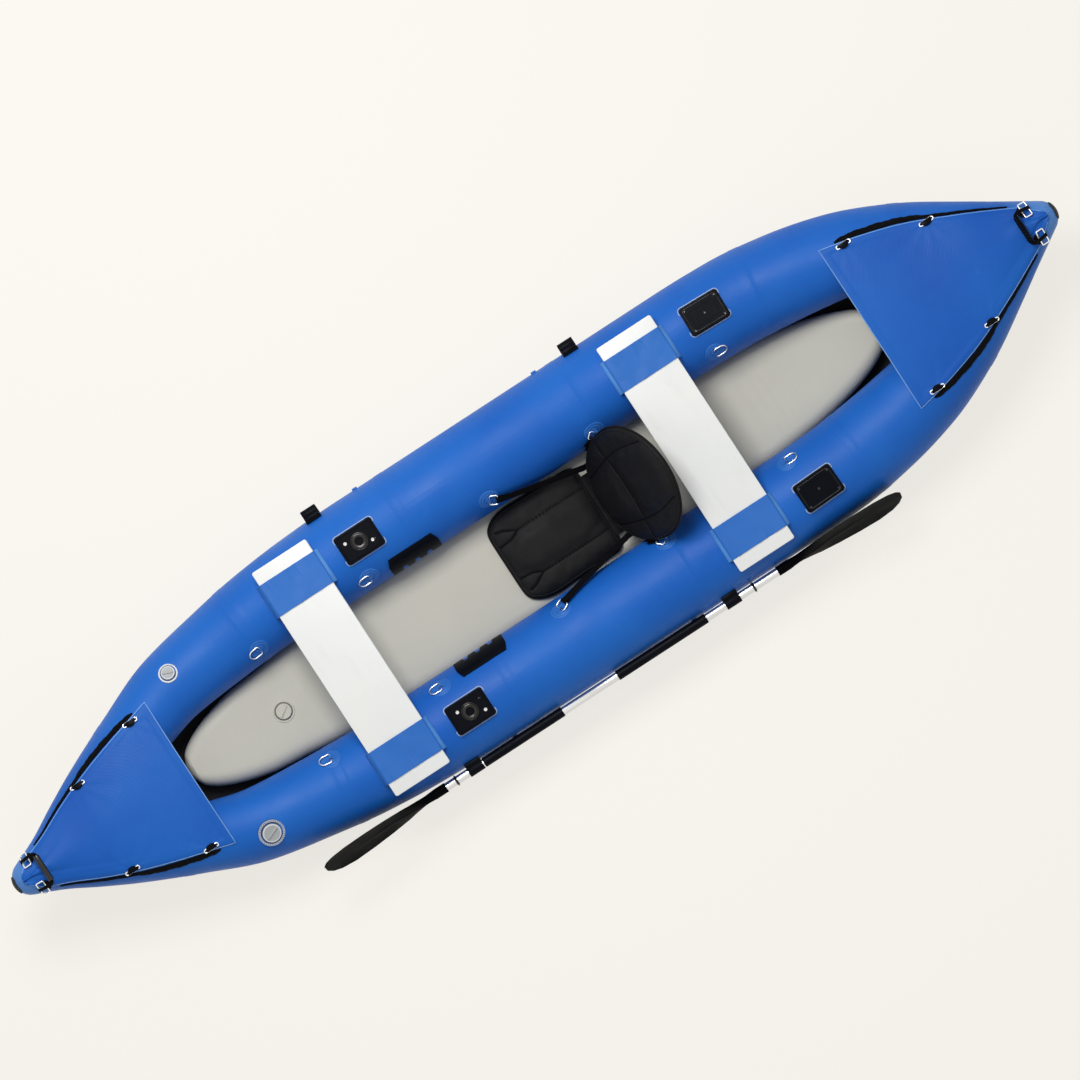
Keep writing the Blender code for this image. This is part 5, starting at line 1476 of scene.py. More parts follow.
def valve_well(name, r):
    """The shaded seat inside the flange, with a low step under the cap."""
    return spun(name, [(0.0, -0.0042), (r * 0.84, -0.0042), (r * 0.84, 0.0002), (r * 0.765, 0.0002),
                       (r * 0.755, 0.0014), (r * 0.735, 0.0014), (r * 0.73, -0.001),
                       (0.0, -0.001)])


def valve_cap(name, r):
    """A cap with a stepped rim, finger flutes and a ridge across it."""
    rim = r * 0.715
    profile = [(0.0, 0.0002), (rim, 0.0002), (rim, 0.0034), (rim * 0.985, 0.0042),
               (rim * 0.95, 0.0050), (rim * 0.86, 0.0056), (rim * 0.80, 0.0052),
               (rim * 0.74, 0.0050), (rim * 0.3, 0.0052), (0.0, 0.0053)]
    cap = spun(name, profile)
    ridge = soften(block("ridge", (r * 1.15, 0.0075, 0.0062), (0, 0, 0.0062)), 0.0026, 5)
    put(ridge, Matrix.Rotation(radians(35), 4, "Z"))
    flutes = tooth_ring("flutes", rim - 0.0002, 44, (0.0012, 0.0016, 0.0028))
    return joined(name, [cap, smooth(ridge), put(flutes, shift(0, 0, 0.0018))])


VALVE_X = DECKS["bow"]["inner"] - 0.112
VALVE_Y = tube_spread(VALVE_X) + 0.036
seat = tube_seat(VALVE_X, VALVE_Y)
for side, r in (("port", 0.0435), ("starboard", 0.0315)):
    there = seat if side == "port" else PORT_TO_STARBOARD @ seat
    finished(put(valve_well(f"valve_{side}_well", r), there), valve_shade,
             replaces=f"valve_{side}_body")
    finished(put(valve_flange(f"valve_{side}_ring", r), there),
             valve_shade if side == "port" else valve_light)
    rims = [spun("rim", [(r * a, 0.0012), (r * (a + 0.030), 0.0012), (r * (a + 0.028), 0.0027),
                         (r * (a + 0.002), 0.0027), (r * a, 0.0012)]) for a in (0.845, 0.968)]
    if side == "port":
        teeth = tooth_ring("teeth", r * 0.921, 36, (r * 0.062, r * 0.085, 0.0014))
        rims.append(put(teeth, shift(0, 0, 0.0024)))
    finished(put(joined(f"valve_{side}_rims", rims), there), valve_light)
    cap = put(valve_cap(f"valve_{side}_lid", r), there @ shift(0, 0, 0.0028))
    finished(cap, valve_acetal, f"valve_{side}_cap", f"valve_{side}_cap")
    cap_rim = spun(f"valve_{side}_lid_rim", [(r * 0.60, 0.0066), (r * 0.60, 0.0086),
                                             (r * 0.69, 0.0080), (r * 0.70, 0.0066),
                                             (r * 0.60, 0.0066)])
    finished(put(cap_rim, there), valve_light, f"valve_{side}_cap")


def floor_top(x):
    return keel_height(x) + FLOOR_GAP + FLOOR_THICK


FLOOR_VALVE_X = 0.973
low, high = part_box("floor_valve_body")
slope = (floor_top(FLOOR_VALVE_X + 0.04) - floor_top(FLOOR_VALVE_X - 0.04)) / 0.08
seat = frame_at(Vector((FLOOR_VALVE_X, 0, (low.z + high.z) / 2 - 0.0002)), Vector((1, 0, slope)),
                Vector((-slope, 0, 1)))
finished(put(valve_flange("floor_valve_ring", 0.036), seat), floor_cloth,
         replaces="floor_valve_body", material_slot="valve_grey")
finished(put(valve_well("floor_valve_well", 0.036), seat), floor_groove)
finished(put(valve_cap("floor_valve_lid", 0.036), seat @ shift(0, 0, 0.0024)), floor_cloth,
         "floor_valve_cap", "floor_valve_cap", "valve_grey")
print("valves ready")

# %% [markdown]
# ## Side lugs and paddle clips
# Small blue lugs are welded low on the outer side of each tube. Four black clips hold a paddle
# there. A clip is a pad on the tube with a fixed hook over the shaft, and a flap that closes from
# below. Both halves are one section drawn along the boat, so an outline is filled, extruded to the
# clip's length and given soft edges.

# %% Lugs and clips
PADDLE_ANGLE = radians(75)
SHAFT_RADIUS = 0.0138
CLIPS = (("bow", 0.5475), ("stern", -0.439))
CLIP_BORE = SHAFT_RADIUS + 0.0006
CLIP_WALL = 0.003
CLIP_FOOT = CLIP_BORE + CLIP_WALL + 0.012


def shaft_axis(x):
    place = on_tube(0.0, PADDLE_ANGLE, 0.006 + 0.0006 + SHAFT_RADIUS)
    place.x = x
    return place


def clip_seat(x):
    """X along the boat, Z away from the tube, Y down."""
    return frame_at(shaft_axis(x), Vector((-1, 0, 0)), tube_normal(0.0, PADDLE_ANGLE))


def arc(radius, first, last, steps):
    """Points of a clip wall's section, between two angles in degrees."""
    turns = [radians(first + (last - first) * k / steps) for k in range(steps + 1)]
    return [(-radius * sin(turn), radius * cos(turn)) for turn in turns]


def drawn(name, section, length):
    """A (y, z) outline, filled and extruded along X, centred, its edges softened."""
    mesh = bpy.data.meshes.new(name)
    mesh.from_pydata([(-length / 2, y, z) for y, z in section], [], [list(range(len(section)))])
    piece = linked(name, mesh)
    with editing(piece, "faces"):
        bpy.ops.mesh.extrude_region_move(TRANSFORM_OT_translate={"value": (length, 0, 0)})
    return smooth(tidy(soften(tidy(piece), 0.0007, 2, 45), 2e-6))


lug_model = round_corners(block("lug_model", (0.018, 0.008, 0.009), (0, 0, 0.0022)), 0.0035, 6)
smooth(soften(lug_model, 0.0012, 3, 60))
for number, x in enumerate((0.386, -0.303)):
    both_sides(copy_of(lug_model, f"lug_{number}", tube_seat(x, turn=radians(82))), sleeve_cloth,
               f"side_lug_{number}")
discard(lug_model)

PAD_TOP = -CLIP_BORE
PAD_LOW, WALL_TOP, BEND_TOP = PAD_TOP - 0.008, PAD_TOP + CLIP_WALL, PAD_TOP + 0.004
CLIP_OUTER = CLIP_BORE + CLIP_WALL
base_section = [(-CLIP_FOOT, PAD_LOW), (CLIP_FOOT, PAD_LOW), (CLIP_FOOT, PAD_TOP),
                (-CLIP_BORE + 0.0004, PAD_TOP)]
base_section += arc(CLIP_BORE, 60, 97, 10)[::-1] + arc(CLIP_OUTER, 60, 96, 10)
base_section += [(-CLIP_OUTER - 0.002, BEND_TOP), (-CLIP_FOOT + 0.003, WALL_TOP),
                 (-CLIP_FOOT + 0.001, PAD_TOP + 0.001), (-CLIP_FOOT, PAD_TOP - 0.001)]
flap_section = [(CLIP_FOOT - 0.003, PAD_TOP + 0.0003), (CLIP_BORE + 0.001, PAD_TOP + 0.0003)]
flap_section += arc(CLIP_BORE, -100, 57, 22) + arc(CLIP_OUTER, 57, -96, 22)
flap_section += [(CLIP_OUTER + 0.003, BEND_TOP), (CLIP_FOOT - 0.003, WALL_TOP)]
for name, x in CLIPS:
    seat = clip_seat(x)
    both_sides(put(drawn(f"{name}_clip_pad", base_section, 0.055), seat), black_nylon,
               f"{name}_clip_base", material_slot="black_webbing")
    both_sides(put(drawn(f"{name}_clip_flap", flap_section, 0.0545), seat), black_nylon,
               f"{name}_clip_flap", f"{name}_flap", f"{name}_flap_SIDE", "black_webbing")
print("clips ready")

# %% [markdown]
# ## Paddle
# The paddle has an anodised tube, two black grip sleeves, two rubber drip rings and two moulded
# blades. Everything on the shaft is a turned shape, so profiles are spun about the shaft's line.
# The grip sleeves are foam with fine turned grooves. Each drip ring flares to a thin lip.

# %% Shaft, grips and drip rings
bow_end, stern_end = 0.706, -0.657
shaft_line = frame_at(shaft_axis(0.0), Vector((0, 0, 1)), Vector((1, 0, 0)))


def on_shaft(name, profile, steps, look, node_name):
    """A turned part of the paddle, its profile's heights measured from x = 0 to the bow."""
    finished(put(spun(name, profile, steps), shaft_line), look, "paddle", node_name)


profile = [(SHAFT_RADIUS - 0.0015, stern_end), (SHAFT_RADIUS, stern_end + 0.001)]
for joint_place in (-0.1675, 0.1085):
    profile += [(SHAFT_RADIUS, joint_place - 0.0006), (SHAFT_RADIUS - 0.0004, joint_place),
                (SHAFT_RADIUS, joint_place + 0.0006)]
profile += [(SHAFT_RADIUS, bow_end - 0.001), (SHAFT_RADIUS - 0.0015, bow_end)]
on_shaft("shaft_tube", profile, 48, anodised, "paddle_shaft")
SLEEVE_BORE, GROOVES = SHAFT_RADIUS + 0.0003, 44
for name, first, last in (("bow", 0.2128, 0.5165), ("stern", -0.338, 0.0038)):
    outer = SLEEVE_BORE + 0.0026
    profile = [(SLEEVE_BORE, first), (outer - 0.0012, first), (outer - 0.0003, first + 0.0012)]
    for k in range(GROOVES):
        place = first + 0.004 + (last - first - 0.008) * k / (GROOVES - 1)
        profile += [(outer, place - 0.0022), (outer - 0.00028, place), (outer, place + 0.0022)]
    profile += [(outer - 0.0003, last - 0.0012), (outer - 0.0012, last), (SLEEVE_BORE, last),
                (SLEEVE_BORE, first)]
    on_shaft(f"{name}_grip_sleeve", profile, 40, black_nylon, f"{name}_hand_grip")
for name, middle in (("bow", 0.6217), ("stern", -0.5208)):
    profile = [(SLEEVE_BORE, middle - 0.004), (SLEEVE_BORE + 0.0012, middle - 0.004),
               (0.0165, middle - 0.0016), (0.0194, middle - 0.0010), (0.0198, middle),
               (0.0194, middle + 0.0010), (0.0168, middle + 0.0012),
               (SLEEVE_BORE + 0.0012, middle + 0.004), (SLEEVE_BORE, middle + 0.004),
               (SLEEVE_BORE, middle - 0.004)]
    on_shaft(f"{name}_drip_lip", profile, 48, gloss_black, f"{name}_drip_ring")

# %% [markdown]
# ## Blades
# A blade starts as a socket over the shaft and opens into a long spoon with a low spine that dies
# out halfway. Its width, thickness and bend are read along its length from short tables, and a
# grid is wrapped round these sections.

# %% Blades
BLADE_LENGTH, BLADE_SOCKET, BLADE_TILT = 0.468, 0.045, radians(21)
BLADE_ROWS, BLADE_COLUMNS = 96, 64
NECK, BLADE_HALF = 0.0170, 0.088
BLADE_SHARES = [0.0, 0.09, 0.14, 0.22, 0.34, 0.48, 0.64, 0.80, 0.91, 0.97, 1.0]
BLADE_WIDTHS = [0.0, 0.0, 0.10, 0.45, 0.72, 0.88, 0.98, 1.0, 0.86, 0.62, 0.30]


def blade_point(end, way, share, turn):
    width = float(np.interp(share, BLADE_SHARES, BLADE_WIDTHS))
    half = max(NECK, BLADE_HALF * width)
    slim = max(0.0035, NECK * (1 - 2.2 * max(0.0, share - 0.09)))
    thick = NECK if width < 0.02 else slim
    rim = thick if width < 0.02 else max(0.0018, thick * (0.75 - 1.2 * (share - 0.09)))
    bend = 0.010 * max(0.0, share - 0.12) ** 2 / 0.77
    across, blend = half * cos(turn), cos(turn) ** 2
    spine = 0.0030 * max(0.0, 1 - abs(across) / 0.011) * clamp((share - 0.16) * 8)
    spine *= clamp((0.80 - share) * 4)
    deep = ((thick * (1 - blend) + rim * blend) * 0.96 + spine * 0.5) * sin(turn)
    y = bend + 0.006 * (across / BLADE_HALF) ** 2 + deep
    place = shaft_axis(end + way * (BLADE_LENGTH * share - BLADE_SOCKET))
    return place + Vector((0, y * cos(BLADE_TILT) - across * sin(BLADE_TILT),
                           y * sin(BLADE_TILT) + across * cos(BLADE_TILT)))


for name, end, way in (("bow", bow_end, 1), ("stern", stern_end, -1)):

    def blade_row(i, j):
        share = i / BLADE_ROWS
        if i > BLADE_ROWS - 12:
            share = 1 - 0.125 * ((BLADE_ROWS - i) / 12) ** 1.6
        return blade_point(end, way, share, 2 * pi * j / BLADE_COLUMNS)

    blade = laid_grid(f"{name}_blade_shape", BLADE_ROWS, BLADE_COLUMNS, blade_row, BLADE_LENGTH,
                      0.18, wrap=True, cap=True)
    soften(blade, 0.0008, 2, 60)
    finished(smooth(tidy(blade, 2e-6), 50), blade_nylon, "paddle", f"{name}_blade")
print("paddle ready")

# %% [markdown]
# ## Carry handles
# Each nose has a handle of narrow webbing, sewn round two rings, with a grip moulded round its
# middle. The bow grip is smooth and shiny and the stern grip is ribbed. The grips are turned
# shapes. The webbing follows a path of points, folded round each ring.

# %% Handle straps and grips
GRIP_RADIUS, GRIP_HALF, GRIP_RIBS = 0.0095, 0.047, 9
RING_REACH = 0.024


def wrap_points(matrix, radius, turns):
    """Webbing folded round a ring's far wire, from inside the ring: points and face normals."""
    rotate = matrix.to_3x3()
    spokes = [rotate @ Vector((-cos(radians(t)), 0, sin(radians(t)))) for t in turns]
    wire_place = matrix @ Vector((RING_REACH, 0, 0))
    return [wire_place + spoke * radius for spoke in spokes], spokes


def eased(points, ups, steps):
    """A smoother line through these points: each run is cut into steps on a spline."""
    line, turned = [], []
    for k in range(len(points) - 1):
        before, after = points[max(k - 1, 0)], points[min(k + 2, len(points) - 1)]
        a, b = points[k], points[k + 1]
        for m in range(steps):
            t = m / steps
            bend = (b - before) * (t * (1 - t) ** 2) * 0.4 - (after - a) * (t * t * (1 - t)) * 0.4
            line.append(a.lerp(b, t * t * (3 - 2 * t) * 0.4 + t * 0.6) + bend * 0.35)
            turned.append(ups[k].lerp(ups[k + 1], t).normalized())
    return line + [points[-1]], turned + [ups[-1]]


for name, deck in DECKS.items():
    (ring_x, ring_y), bar_x = deck["handle"], deck["bar"]
    way = 1 if bar_x > 0 else -1
    height = deck_height(bar_x, 0.0) + DECK_CLOTH + GRIP_RADIUS + 0.012
    middle = Vector((bar_x, 0, height))
    halves, up = [], Vector((0, 0, 1))
    for side in (1, -1):
        seat = deck_seat(ring_x, side * ring_y, Vector((way, 0, 0)))
        seat = seat @ shift(0, 0, HANDLE_TOP + 0.3 * RING_WIRE)
        corner = middle + Vector((way * 0.012, side * 0.057, 0))
        points, ups = wrap_points(seat, RING_WIRE + 0.0003 + 0.001, range(270, 89, -15))
        for share in (0.25, 0.5, 0.75):
            points.append(points[12].lerp(corner, share))
            ups.append(ups[12].lerp(up, share).normalized())
        points += [corner, middle + Vector((way * 0.004, side * 0.053, 0)),
                   middle + Vector((0, side * 0.0465, 0))]
        ups += [up, up, up]
        halves.append((points, ups))
    (first, first_ups), (second, second_ups) = halves
    web = strap(f"{name}_handle_web", *eased(first + second[::-1], first_ups + second_ups[::-1], 2),
                0.012, 0.002, 0.24)
    bending(web, black_webbing, f"{name}_handle_strap",
            (ring_x + way * RING_REACH, 0, height), (bar_x + way * 0.014, 0, height))
    low = -GRIP_HALF
    profile = [(0.0035, low), (GRIP_RADIUS * 0.72, low), (GRIP_RADIUS * 0.94, low + 0.0008),
               (GRIP_RADIUS, low + 0.0026)]
    if name == "stern":
        for k in range(GRIP_RIBS):
            at = low + 0.005 + 0.084 * k / (GRIP_RIBS - 1)
            profile += [(GRIP_RADIUS, at - 0.0020), (GRIP_RADIUS * 0.84, at - 0.0006),
                        (GRIP_RADIUS * 0.84, at + 0.0006), (GRIP_RADIUS, at + 0.0020)]
    profile += [(GRIP_RADIUS, -low - 0.0026), (GRIP_RADIUS * 0.94, -low - 0.0008),
                (GRIP_RADIUS * 0.72, -low), (0.0035, -low), (0.0035, low)]
    grip = put(spun(f"{name}_handle_bar", profile, 40),
               frame_at(middle, Vector((0, 0, 1)), Vector((0, 1, 0))))
    finished(grip, gloss_black if name == "bow" else black_nylon, f"{name}_handle_grip",
             f"{name}_handle_grip")
print("handles ready")

# %% [markdown]
# ## Seat pads
# The seat is two padded pieces of black leathercloth: a base on the floor and an oval back that
# leans against the straps. Each is built in its own flat frame, X across and Y along. A grid is
# wrapped over a low crowned form that is slightly too small. Then it is remeshed evenly and blown
# up as cloth, with the edge seam and the sewn lines held, so that the panels between them swell as
# foam does behind tight cover. What rests on the floor is pressed flat again.

# %% Pad outlines and sewn lines
SEAT_FRONT, SEAT_REAR, SEAT_HALF = 0.109, -0.245, 0.166
BACK_HINGE, BACK_HEIGHT, BACK_HALF, BACK_LEAN = (-0.258, 0.138), 0.430, 0.198, radians(33)


def seat_half(x):
    """Half width of the base at x: round front corners, slightly narrower to the rear."""
    t = (SEAT_FRONT - x) / (SEAT_FRONT - SEAT_REAR)
    front = clamp(t / 0.30)
    return SEAT_HALF * (0.62 + 0.38 * sqrt(max(0.0, 1 - (1 - front) ** 2))) * (1 - 0.06 * t)


def back_half_width(s):
    """Half width of the oval back at height s."""
    middle = BACK_HEIGHT * 0.54
    if s < middle:
        t, power = (middle - s) / middle, 2.2
    else:
        t, power = (s - middle) / (BACK_HEIGHT - middle), 2.0
    return BACK_HALF * max(0.0, 1 - min(t, 1.0) ** power) ** (1 / power)


def rounded_seat():
    """Outline of the base, counter-clockwise from the middle of its rear edge."""
    half = [(SEAT_REAR, 0.0), (SEAT_REAR, 0.05), (SEAT_REAR, 0.10)]
    for k in range(8):
        turn = pi / 2 * k / 7
        half.append((SEAT_REAR + 0.024 * (1 - sin(turn)),
                     seat_half(SEAT_REAR) - 0.024 * (1 - cos(turn))))
    half = half[:3] + half[:2:-1]
    half += [(x, seat_half(x)) for x in np.linspace(-0.2, 0.06, 14)]
    half += [(SEAT_FRONT - 0.0032 * 1.55 ** k, seat_half(SEAT_FRONT - 0.0032 * 1.55 ** k))
             for k in (5, 4, 3, 2, 1, 0)]
    half += [(SEAT_FRONT - 0.0004, seat_half(SEAT_FRONT) * 0.97),
             (SEAT_FRONT, seat_half(SEAT_FRONT) * 0.6), (SEAT_FRONT, 0.0)]
    return [Vector((x, y)) for x, y in half] + [Vector((x, -y)) for x, y in half[-2:0:-1]]


def even_loop(points, count):
    """The closed line through points, at equal steps."""
    loop = points + [points[0]]
    runs = [0.0]
    for a, b in zip(loop, loop[1:]):
        runs.append(runs[-1] + (b - a).length)
    at = np.linspace(0, runs[-1], count + 1)[:-1]
    xs, ys = (np.interp(at, runs, [p[k] for p in loop]) for k in (0, 1))
    for _ in range(2):
        xs = (np.roll(xs, 1) + 2 * xs + np.roll(xs, -1)) / 4
        ys = (np.roll(ys, 1) + 2 * ys + np.roll(ys, -1)) / 4
    return [Vector((x, y)) for x, y in zip(xs, ys)]


CURVE_STEPS = 12


def curve_line(points):
    """A smooth line through a few points, as a list of close points."""
    points = [Vector(p) for p in points]
    line = []
    for k in range(len(points) - 1):
        p0, p1 = points[max(k - 1, 0)], points[k]
        p2, p3 = points[k + 1], points[min(k + 2, len(points) - 1)]
        for m in range(CURVE_STEPS):
            t = m / CURVE_STEPS
            line.append(0.5 * (2 * p1 + (p2 - p0) * t + (2 * p0 - 5 * p1 + 4 * p2 - p3) * t ** 2
                               + (3 * p1 - p0 - 3 * p2 + p3) * t ** 3))
    return line + [points[-1]]


base_loop = even_loop(rounded_seat(), 140)
base_lines = []
for side in (1, -1):
    for plan in (((-0.240, 0.078), (-0.12, 0.081), (0.020, 0.080)),
                 ((0.020, 0.080), (0.042, 0.092), (0.062, 0.103), (0.086, 0.108)),
                 ((0.020, 0.080), (0.036, 0.071), (0.058, 0.063), (0.096, 0.060))):
        base_lines.append(curve_line([(x, side * y) for x, y in plan]))
back_loop = even_loop([Vector((back_half_width(s), s)) for s in BACK_HEIGHT * (
    1 - np.cos(np.linspace(0, pi, 60))) / 2] + [Vector((-back_half_width(s), s)) for s in
    BACK_HEIGHT * (1 + np.cos(np.linspace(0, pi, 60))) / 2][1:-1], 140)
back_lines = [curve_line([(-0.184, 0.166), (-0.09, 0.196), (0.0, 0.205), (0.09, 0.196),
                          (0.184, 0.166)])]
for side in (1, -1):
    back_lines.append(curve_line([(side * 0.088, 0.036), (side * 0.102, 0.110),
                                  (side * 0.114, 0.190), (side * 0.118, 0.280),
                                  (side * 0.104, 0.380)]))
print("sewn lines:", len(base_lines), "on the base and", len(back_lines), "on the back")

# %% Crowned forms
def pad_form(name, loop, centre, top, bottom):
    """A closed crowned form: rows go from the top's middle to the edge and back under it."""
    shares = [0, 0.15, 0.3, 0.45, 0.6, 0.72, 0.82, 0.9, 0.95, 0.98, 0.995]
    rows = [(share, top(share)) for share in shares] + [(1.0, top(1.0)), (1.0, bottom(1.0))]
    rows += [(share, bottom(share)) for share in shares[::-1]]

    def place(i, j):
        share, z = rows[i]
        edge = loop[j % len(loop)]
        return Vector((centre[0] + (edge.x - centre[0]) * share,
                       centre[1] + (edge.y - centre[1]) * share, z))

    form = laid_grid(name, len(rows) - 1, len(loop), place, 0.4, 1.0, wrap=True)
    return tidy(form, 1e-5)


def blown_up(form, held, limit):
    """Cloth under air pressure, held near some points, its motion capped at limit."""
    modify(form, "REMESH", mode="VOXEL", voxel_size=0.0052)
    mesh = form.data
    start = [v.co.copy() for v in mesh.vertices]
    group = form.vertex_groups.new(name="held")
    for vertex in mesh.vertices:
        weight = held(vertex.co)
        if weight > 0.02:
            group.add([vertex.index], weight, "REPLACE")
    alone(form)
    cloth = form.modifiers.new("Cloth", "CLOTH")
    for key, value in {"quality": 5, "mass": 0.25, "use_pressure": True,
                       "uniform_pressure_force": 4.0, "vertex_group_mass": "held",
                       "pin_stiffness": 1.0, "shrink_min": -0.03}.items():
        setattr(cloth.settings, key, value)
    cloth.settings.effector_weights.gravity = 0.0
    cloth.collision_settings.use_collision = False
    for step in range(1, 21):
        scene.frame_set(step)
    bpy.ops.object.modifier_apply(modifier=cloth.name)
    scene.frame_set(1)
    moved = 0.0
    for vertex, first in zip(form.data.vertices, start):
        move = vertex.co - first
        moved = max(moved, move.length)
        if move.length > limit:
            vertex.co = first + move.normalized() * limit
    print(form.name, "swelled by up to", round(moved * 1000, 1), "mm")
    form.vertex_groups.clear()
    return modify(form, "SMOOTH", factor=0.5, iterations=20)


def gap_to(lines):
    """A function that gives the distance in plan from a point to the nearest of these lines."""
    spots = [(p.x, p.y, 0) for line in lines for p in line]
    tree = KDTree(len(spots))
    for number, spot in enumerate(spots):
        tree.insert(spot, number)
    tree.balance()
    return lambda point: tree.find((point.x, point.y, 0))[2]


def closeness(distance, reach):
    """1 on the line, falling smoothly to 0 at reach."""
    t = max(0.0, 1 - distance / reach)
    return t * t * (3 - 2 * t)


def pad(name, loop, lines, centre, top, bottom, limit, floor_level):
    """One padded piece: crowned, blown up, refined, with its sewn channels pressed in."""
    form = pad_form(name, loop, centre, top, bottom)
    rim_gap, seam_gap = gap_to([loop]), gap_to(lines)
    rim_level = (top(1.0) + bottom(1.0)) / 2

    def held(point):
        sewn = closeness(seam_gap(point), 0.012) if point.z > rim_level else 0.0
        return max(closeness(rim_gap(point), 0.011), sewn)

    blown_up(form, held, limit)
    modify(form, "SUBSURF", levels=1, render_levels=1)
    fronts = [v.normal.z for v in form.data.vertices]
    for vertex, front in zip(form.data.vertices, fronts):
        if front > 0.2:
            gap = seam_gap(vertex.co)
            vertex.co.z -= 0.0024 * closeness(gap, 0.009) + 0.0014 * closeness(gap, 0.0040)
        vertex.co.z = max(vertex.co.z, floor_level)
    print(name, "has", len(form.data.polygons), "faces")
    return smooth(form, 60)


def surface_of(piece):
    """A function that gives the highest point of a piece at (x, y), or None."""
    tree = BVHTree.FromPolygons([v.co for v in piece.data.vertices],
                                [list(f.vertices) for f in piece.data.polygons])

    return lambda x, y: tree.ray_cast(Vector((x, y, 0.5)), Vector((0, 0, -1)))[0]


def seam_lines(name, drop, lines):
    """Painted shade at the bottom of each sewn channel, as one dark line along its closed joint."""
    made = []
    for line in lines:
        found = [drop(p.x, p.y) for p in line]
        made.append(line_along("seam", [p for p in found if p], 0.0021))
    print(name, "has", len(made), "seams")
    return joined(name, made)


def piping(name, drop, loop, inset, centre, radius, level=None):
    """A round cord sewn in along the rim, on the surface or at a fixed level."""
    spots = [p + (Vector(centre) - p).normalized() * inset for p in loop]
    points = [drop(p.x, p.y) if level is None else Vector((p.x, p.y, level)) for p in spots]
    return line_along(name, [p for p in points if p], radius, closed=True, sides=3)


PIPING, HEM_CORD = 0.0024, 0.0030


def dressed_pad(name, loop, lines, centre, top, bottom, limit, insets, hem_level, body,
                stand=Matrix.Identity(4), floor_level=-1.0):
    """A pad with its seams, piping on its surface and a cord at hem_level, stood in its place."""
    cushion = pad(f"{name}_pad", loop, lines, centre, top, bottom, limit, floor_level)
    drop = surface_of(cushion)
    seams = seam_lines(f"{name}_seams", drop, lines)
    cord = piping(f"{name}_piping", drop, loop, insets[0], centre, PIPING)
    hem = piping(f"{name}_hem", drop, loop, insets[1], centre, HEM_CORD, hem_level)
    for piece in (cushion, seams, cord, hem):
        # The seams are near black: painted shade in the sewn channels.
        finished(put(piece, stand), seam_shade if piece is seams else seat_cover, body,
                 name if piece is cushion else None)
    return cushion


print("pad tools ready")

# %% [markdown]
# ## Seat base
# The base lies on the floor. Its rim carries two lengths of piping, above and below its side band,
# and two sewn lines run from the rear and fork towards the front corners.

# %% Seat base
SEAT_FLOOR = floor_top(0) + 0.0004
BASE_CENTRE, BASE_SIDE = (-0.068, 0.0), 0.035


def base_top(share):
    swell = sqrt(max(0.0, 1 - share ** 8))
    return SEAT_FLOOR + BASE_SIDE * (0.45 + 0.55 * swell) + 0.006 * (1 - share ** 2)


def base_bottom(share):
    return SEAT_FLOOR + (0.0045 if share > 0.999 else 0.0)


base_pad = dressed_pad("seat_base", base_loop, base_lines, BASE_CENTRE, base_top, base_bottom,
                       0.010, (0.0085, -0.0008), SEAT_FLOOR + 0.0100, "hull",
                       floor_level=SEAT_FLOOR)

# %% [markdown]
# ## Seat back
# The back is an oval that leans aft. It is made lying flat and then stood up at its hinge. One
# sewn line crosses it and two run up it, spreading a little towards the shoulders.

# %% Seat back
BACK_CENTRE = (0.0, BACK_HEIGHT * 0.53)


def back_swell(share):
    return 0.25 + 0.75 * sqrt(max(0.0, 1 - share ** 6))


def back_top(share):
    return 0.0165 * back_swell(share) + 0.008 * (1 - share ** 2)


def back_bottom(share):
    return -0.0155 * back_swell(share)


lean_up = Vector((-sin(BACK_LEAN), 0, cos(BACK_LEAN)))
lean_front = Vector((cos(BACK_LEAN), 0, sin(BACK_LEAN)))
back_stand = Matrix((lean_up.cross(lean_front), lean_up, lean_front)).transposed().to_4x4()
back_stand.translation = Vector((BACK_HINGE[0], 0, BACK_HINGE[1]))

back_pad = dressed_pad("seat_back", back_loop, back_lines, BACK_CENTRE, back_top, back_bottom,
                       0.009, (0.0090, -0.0006), 0.0, "seat_back", back_stand)

# %% [markdown]
# A strip of the same leathercloth joins the two pads and works as their hinge. It is cut as a
# rectangle, sewn to the rear edge of the base and to the lower front of the back, and dips a little
# between them.

# %% Hinge strip
HINGE_HALF, HINGE_ROWS, HINGE_COLUMNS = 0.112, 12, 24
low = Vector((SEAT_REAR + 0.004, 0, SEAT_FLOOR + 0.020))
high = back_stand @ Vector((0, 0.050, 0.004))
dip = Vector((-0.004, 0, -0.010))
hinge_path = [low.lerp(high, t) + dip * 4 * t * (1 - t)
              for t in (k / HINGE_ROWS for k in range(HINGE_ROWS + 1))]


def hinge_point(i, j):
    across = HINGE_HALF * (2 * j / HINGE_COLUMNS - 1)
    ripple = 0.0012 * sin(pi * i / HINGE_ROWS) * sin(across * 140)
    return hinge_path[i] + Vector((ripple, across, ripple))


hinge_length = sum((b - a).length for a, b in zip(hinge_path, hinge_path[1:]))
hinge_strip = laid_grid("seat_hinge_strip", HINGE_ROWS, HINGE_COLUMNS, hinge_point, hinge_length,
                        2 * HINGE_HALF)
modify(hinge_strip, "SOLIDIFY", thickness=0.0016, offset=0.0)
bending(smooth(tidy(hinge_strip)), seat_cover, None, hinge_path[0], hinge_path[-1])
print("hinge strip:", round(hinge_length, 3), "m long")
print("seat ready")

# %% [markdown]
# ## Seat straps
# Four flat straps hold the back up. Each is folded round its steel ring, doubled back and sewn,
# and runs to the edge of the oval. Webbing keeps its width, so it is laid as a flat band along a
# path. It crosses the hinge of the back.

# %% Strap rings and straps
STRAP_RINGS = {"front": (0.040, 0.11), "rear": (-0.363, 0.26)}
STRAP_RING_REACH, STRAP_WIDTH, STRAP_THICK = 0.026, 0.025, 0.0018


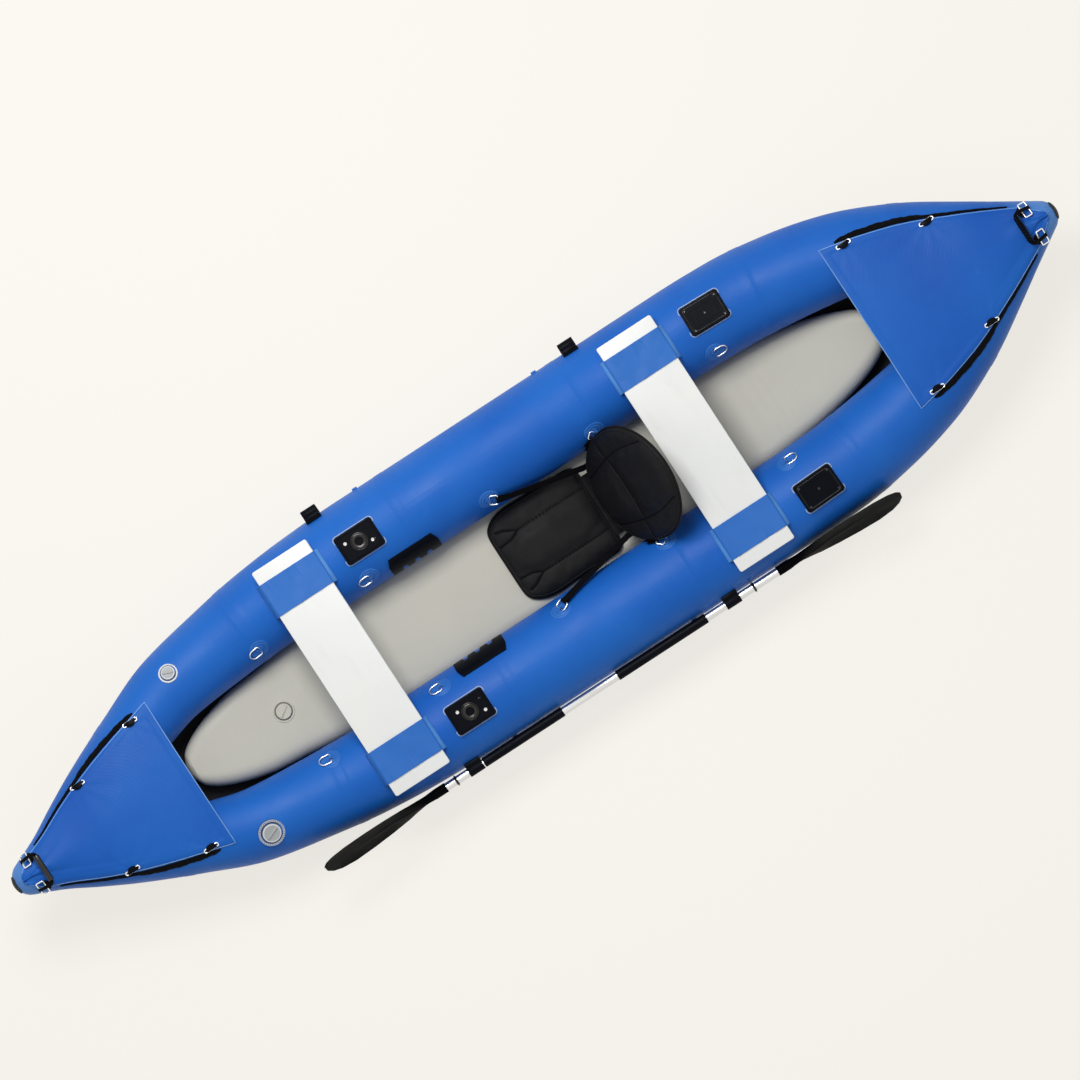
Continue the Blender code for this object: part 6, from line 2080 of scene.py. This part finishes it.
def strap_end(share):
    """Where a port strap is sewn to the edge of the back, and the facing of its face."""
    s, step = BACK_HEIGHT * share, 0.01
    slope = (back_half_width(s + step) - back_half_width(s - step)) / (2 * step)
    edge = Vector((1, -slope, 0)).normalized()
    end = Vector((back_half_width(s), s, 0)) + edge * 0.0019
    return back_stand @ end, (back_stand.to_3x3() @ -edge).normalized()


strap_ring = wire_ring("strap_ring_model", oblong_path(0.040, STRAP_RING_REACH, 0.006))
for name, (x, share) in STRAP_RINGS.items():
    level = tube_seat(x, RING_SPREAD)
    normal = (level.to_3x3() @ Vector((0, 0, 1))).normalized()
    end, side_face = strap_end(share)
    pull = end - level.translation
    seat = frame_at(level.translation, pull - normal * pull.dot(normal), normal)
    ring_patch(f"seat_{name}_patch", x)
    keeper_loop(f"seat_{name}_keeper", seat)
    held = seat @ shift(0, 0, RING_HEIGHT) @ Matrix.Rotation(radians(-20), 4, "Y")
    both_sides(copy_of(strap_ring, "ring", held), steel, f"seat_{name}_wire",
               f"seat_{name}_ring")
    wire_place = Vector((STRAP_RING_REACH, 0, 0))
    aim = held.inverted() @ end - wire_place
    last = 90 - degrees(atan2(aim.z, aim.x))
    turns = [last - 180 + 15 * k for k in range(13)]
    spokes = [held.to_3x3() @ Vector((-cos(radians(t)), 0, sin(radians(t)))) for t in turns]
    folded = [held @ wire_place + spoke * 0.0036 for spoke in spokes]
    top, face = folded[-1], spokes[-1]
    run = end - top
    run = (run - side_face * run.dot(side_face)).normalized() * 0.0125
    start, stop = end - run, end + run
    along = (start - top).normalized()
    points = [top + along * 0.040 - face * 0.0024, top + along * 0.020 - face * 0.0040,
              folded[0] + along * 0.006] + folded
    ups = [-face, -face, -face] + spokes
    for k in range(1, 16):
        t = k / 16
        sag = Vector((0, 0, -0.006 * sin(pi * t)))
        points.append(top.lerp(start, t) + sag)
        ups.append(face.lerp(side_face, t).normalized())
    points += [start, stop]
    ups += [side_face, side_face]
    web = strap(f"seat_{name}_web_port", points, ups, STRAP_WIDTH, STRAP_THICK,
                (end - top).length + 0.08)
    twin = copy_of(web, f"seat_{name}_web_starboard", PORT_TO_STARBOARD)
    for side, piece, y in (("port", web, 1), ("starboard", twin, -1)):
        mirror = Vector((1, y, 1))
        bending(piece, black_webbing, f"seat_{name}_strap_{side}",
                (top + along * 0.05) * mirror, start * mirror)
discard(strap_ring)
print("straps ready")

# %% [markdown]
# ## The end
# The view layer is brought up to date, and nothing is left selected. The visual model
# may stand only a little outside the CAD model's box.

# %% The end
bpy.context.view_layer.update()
alone()
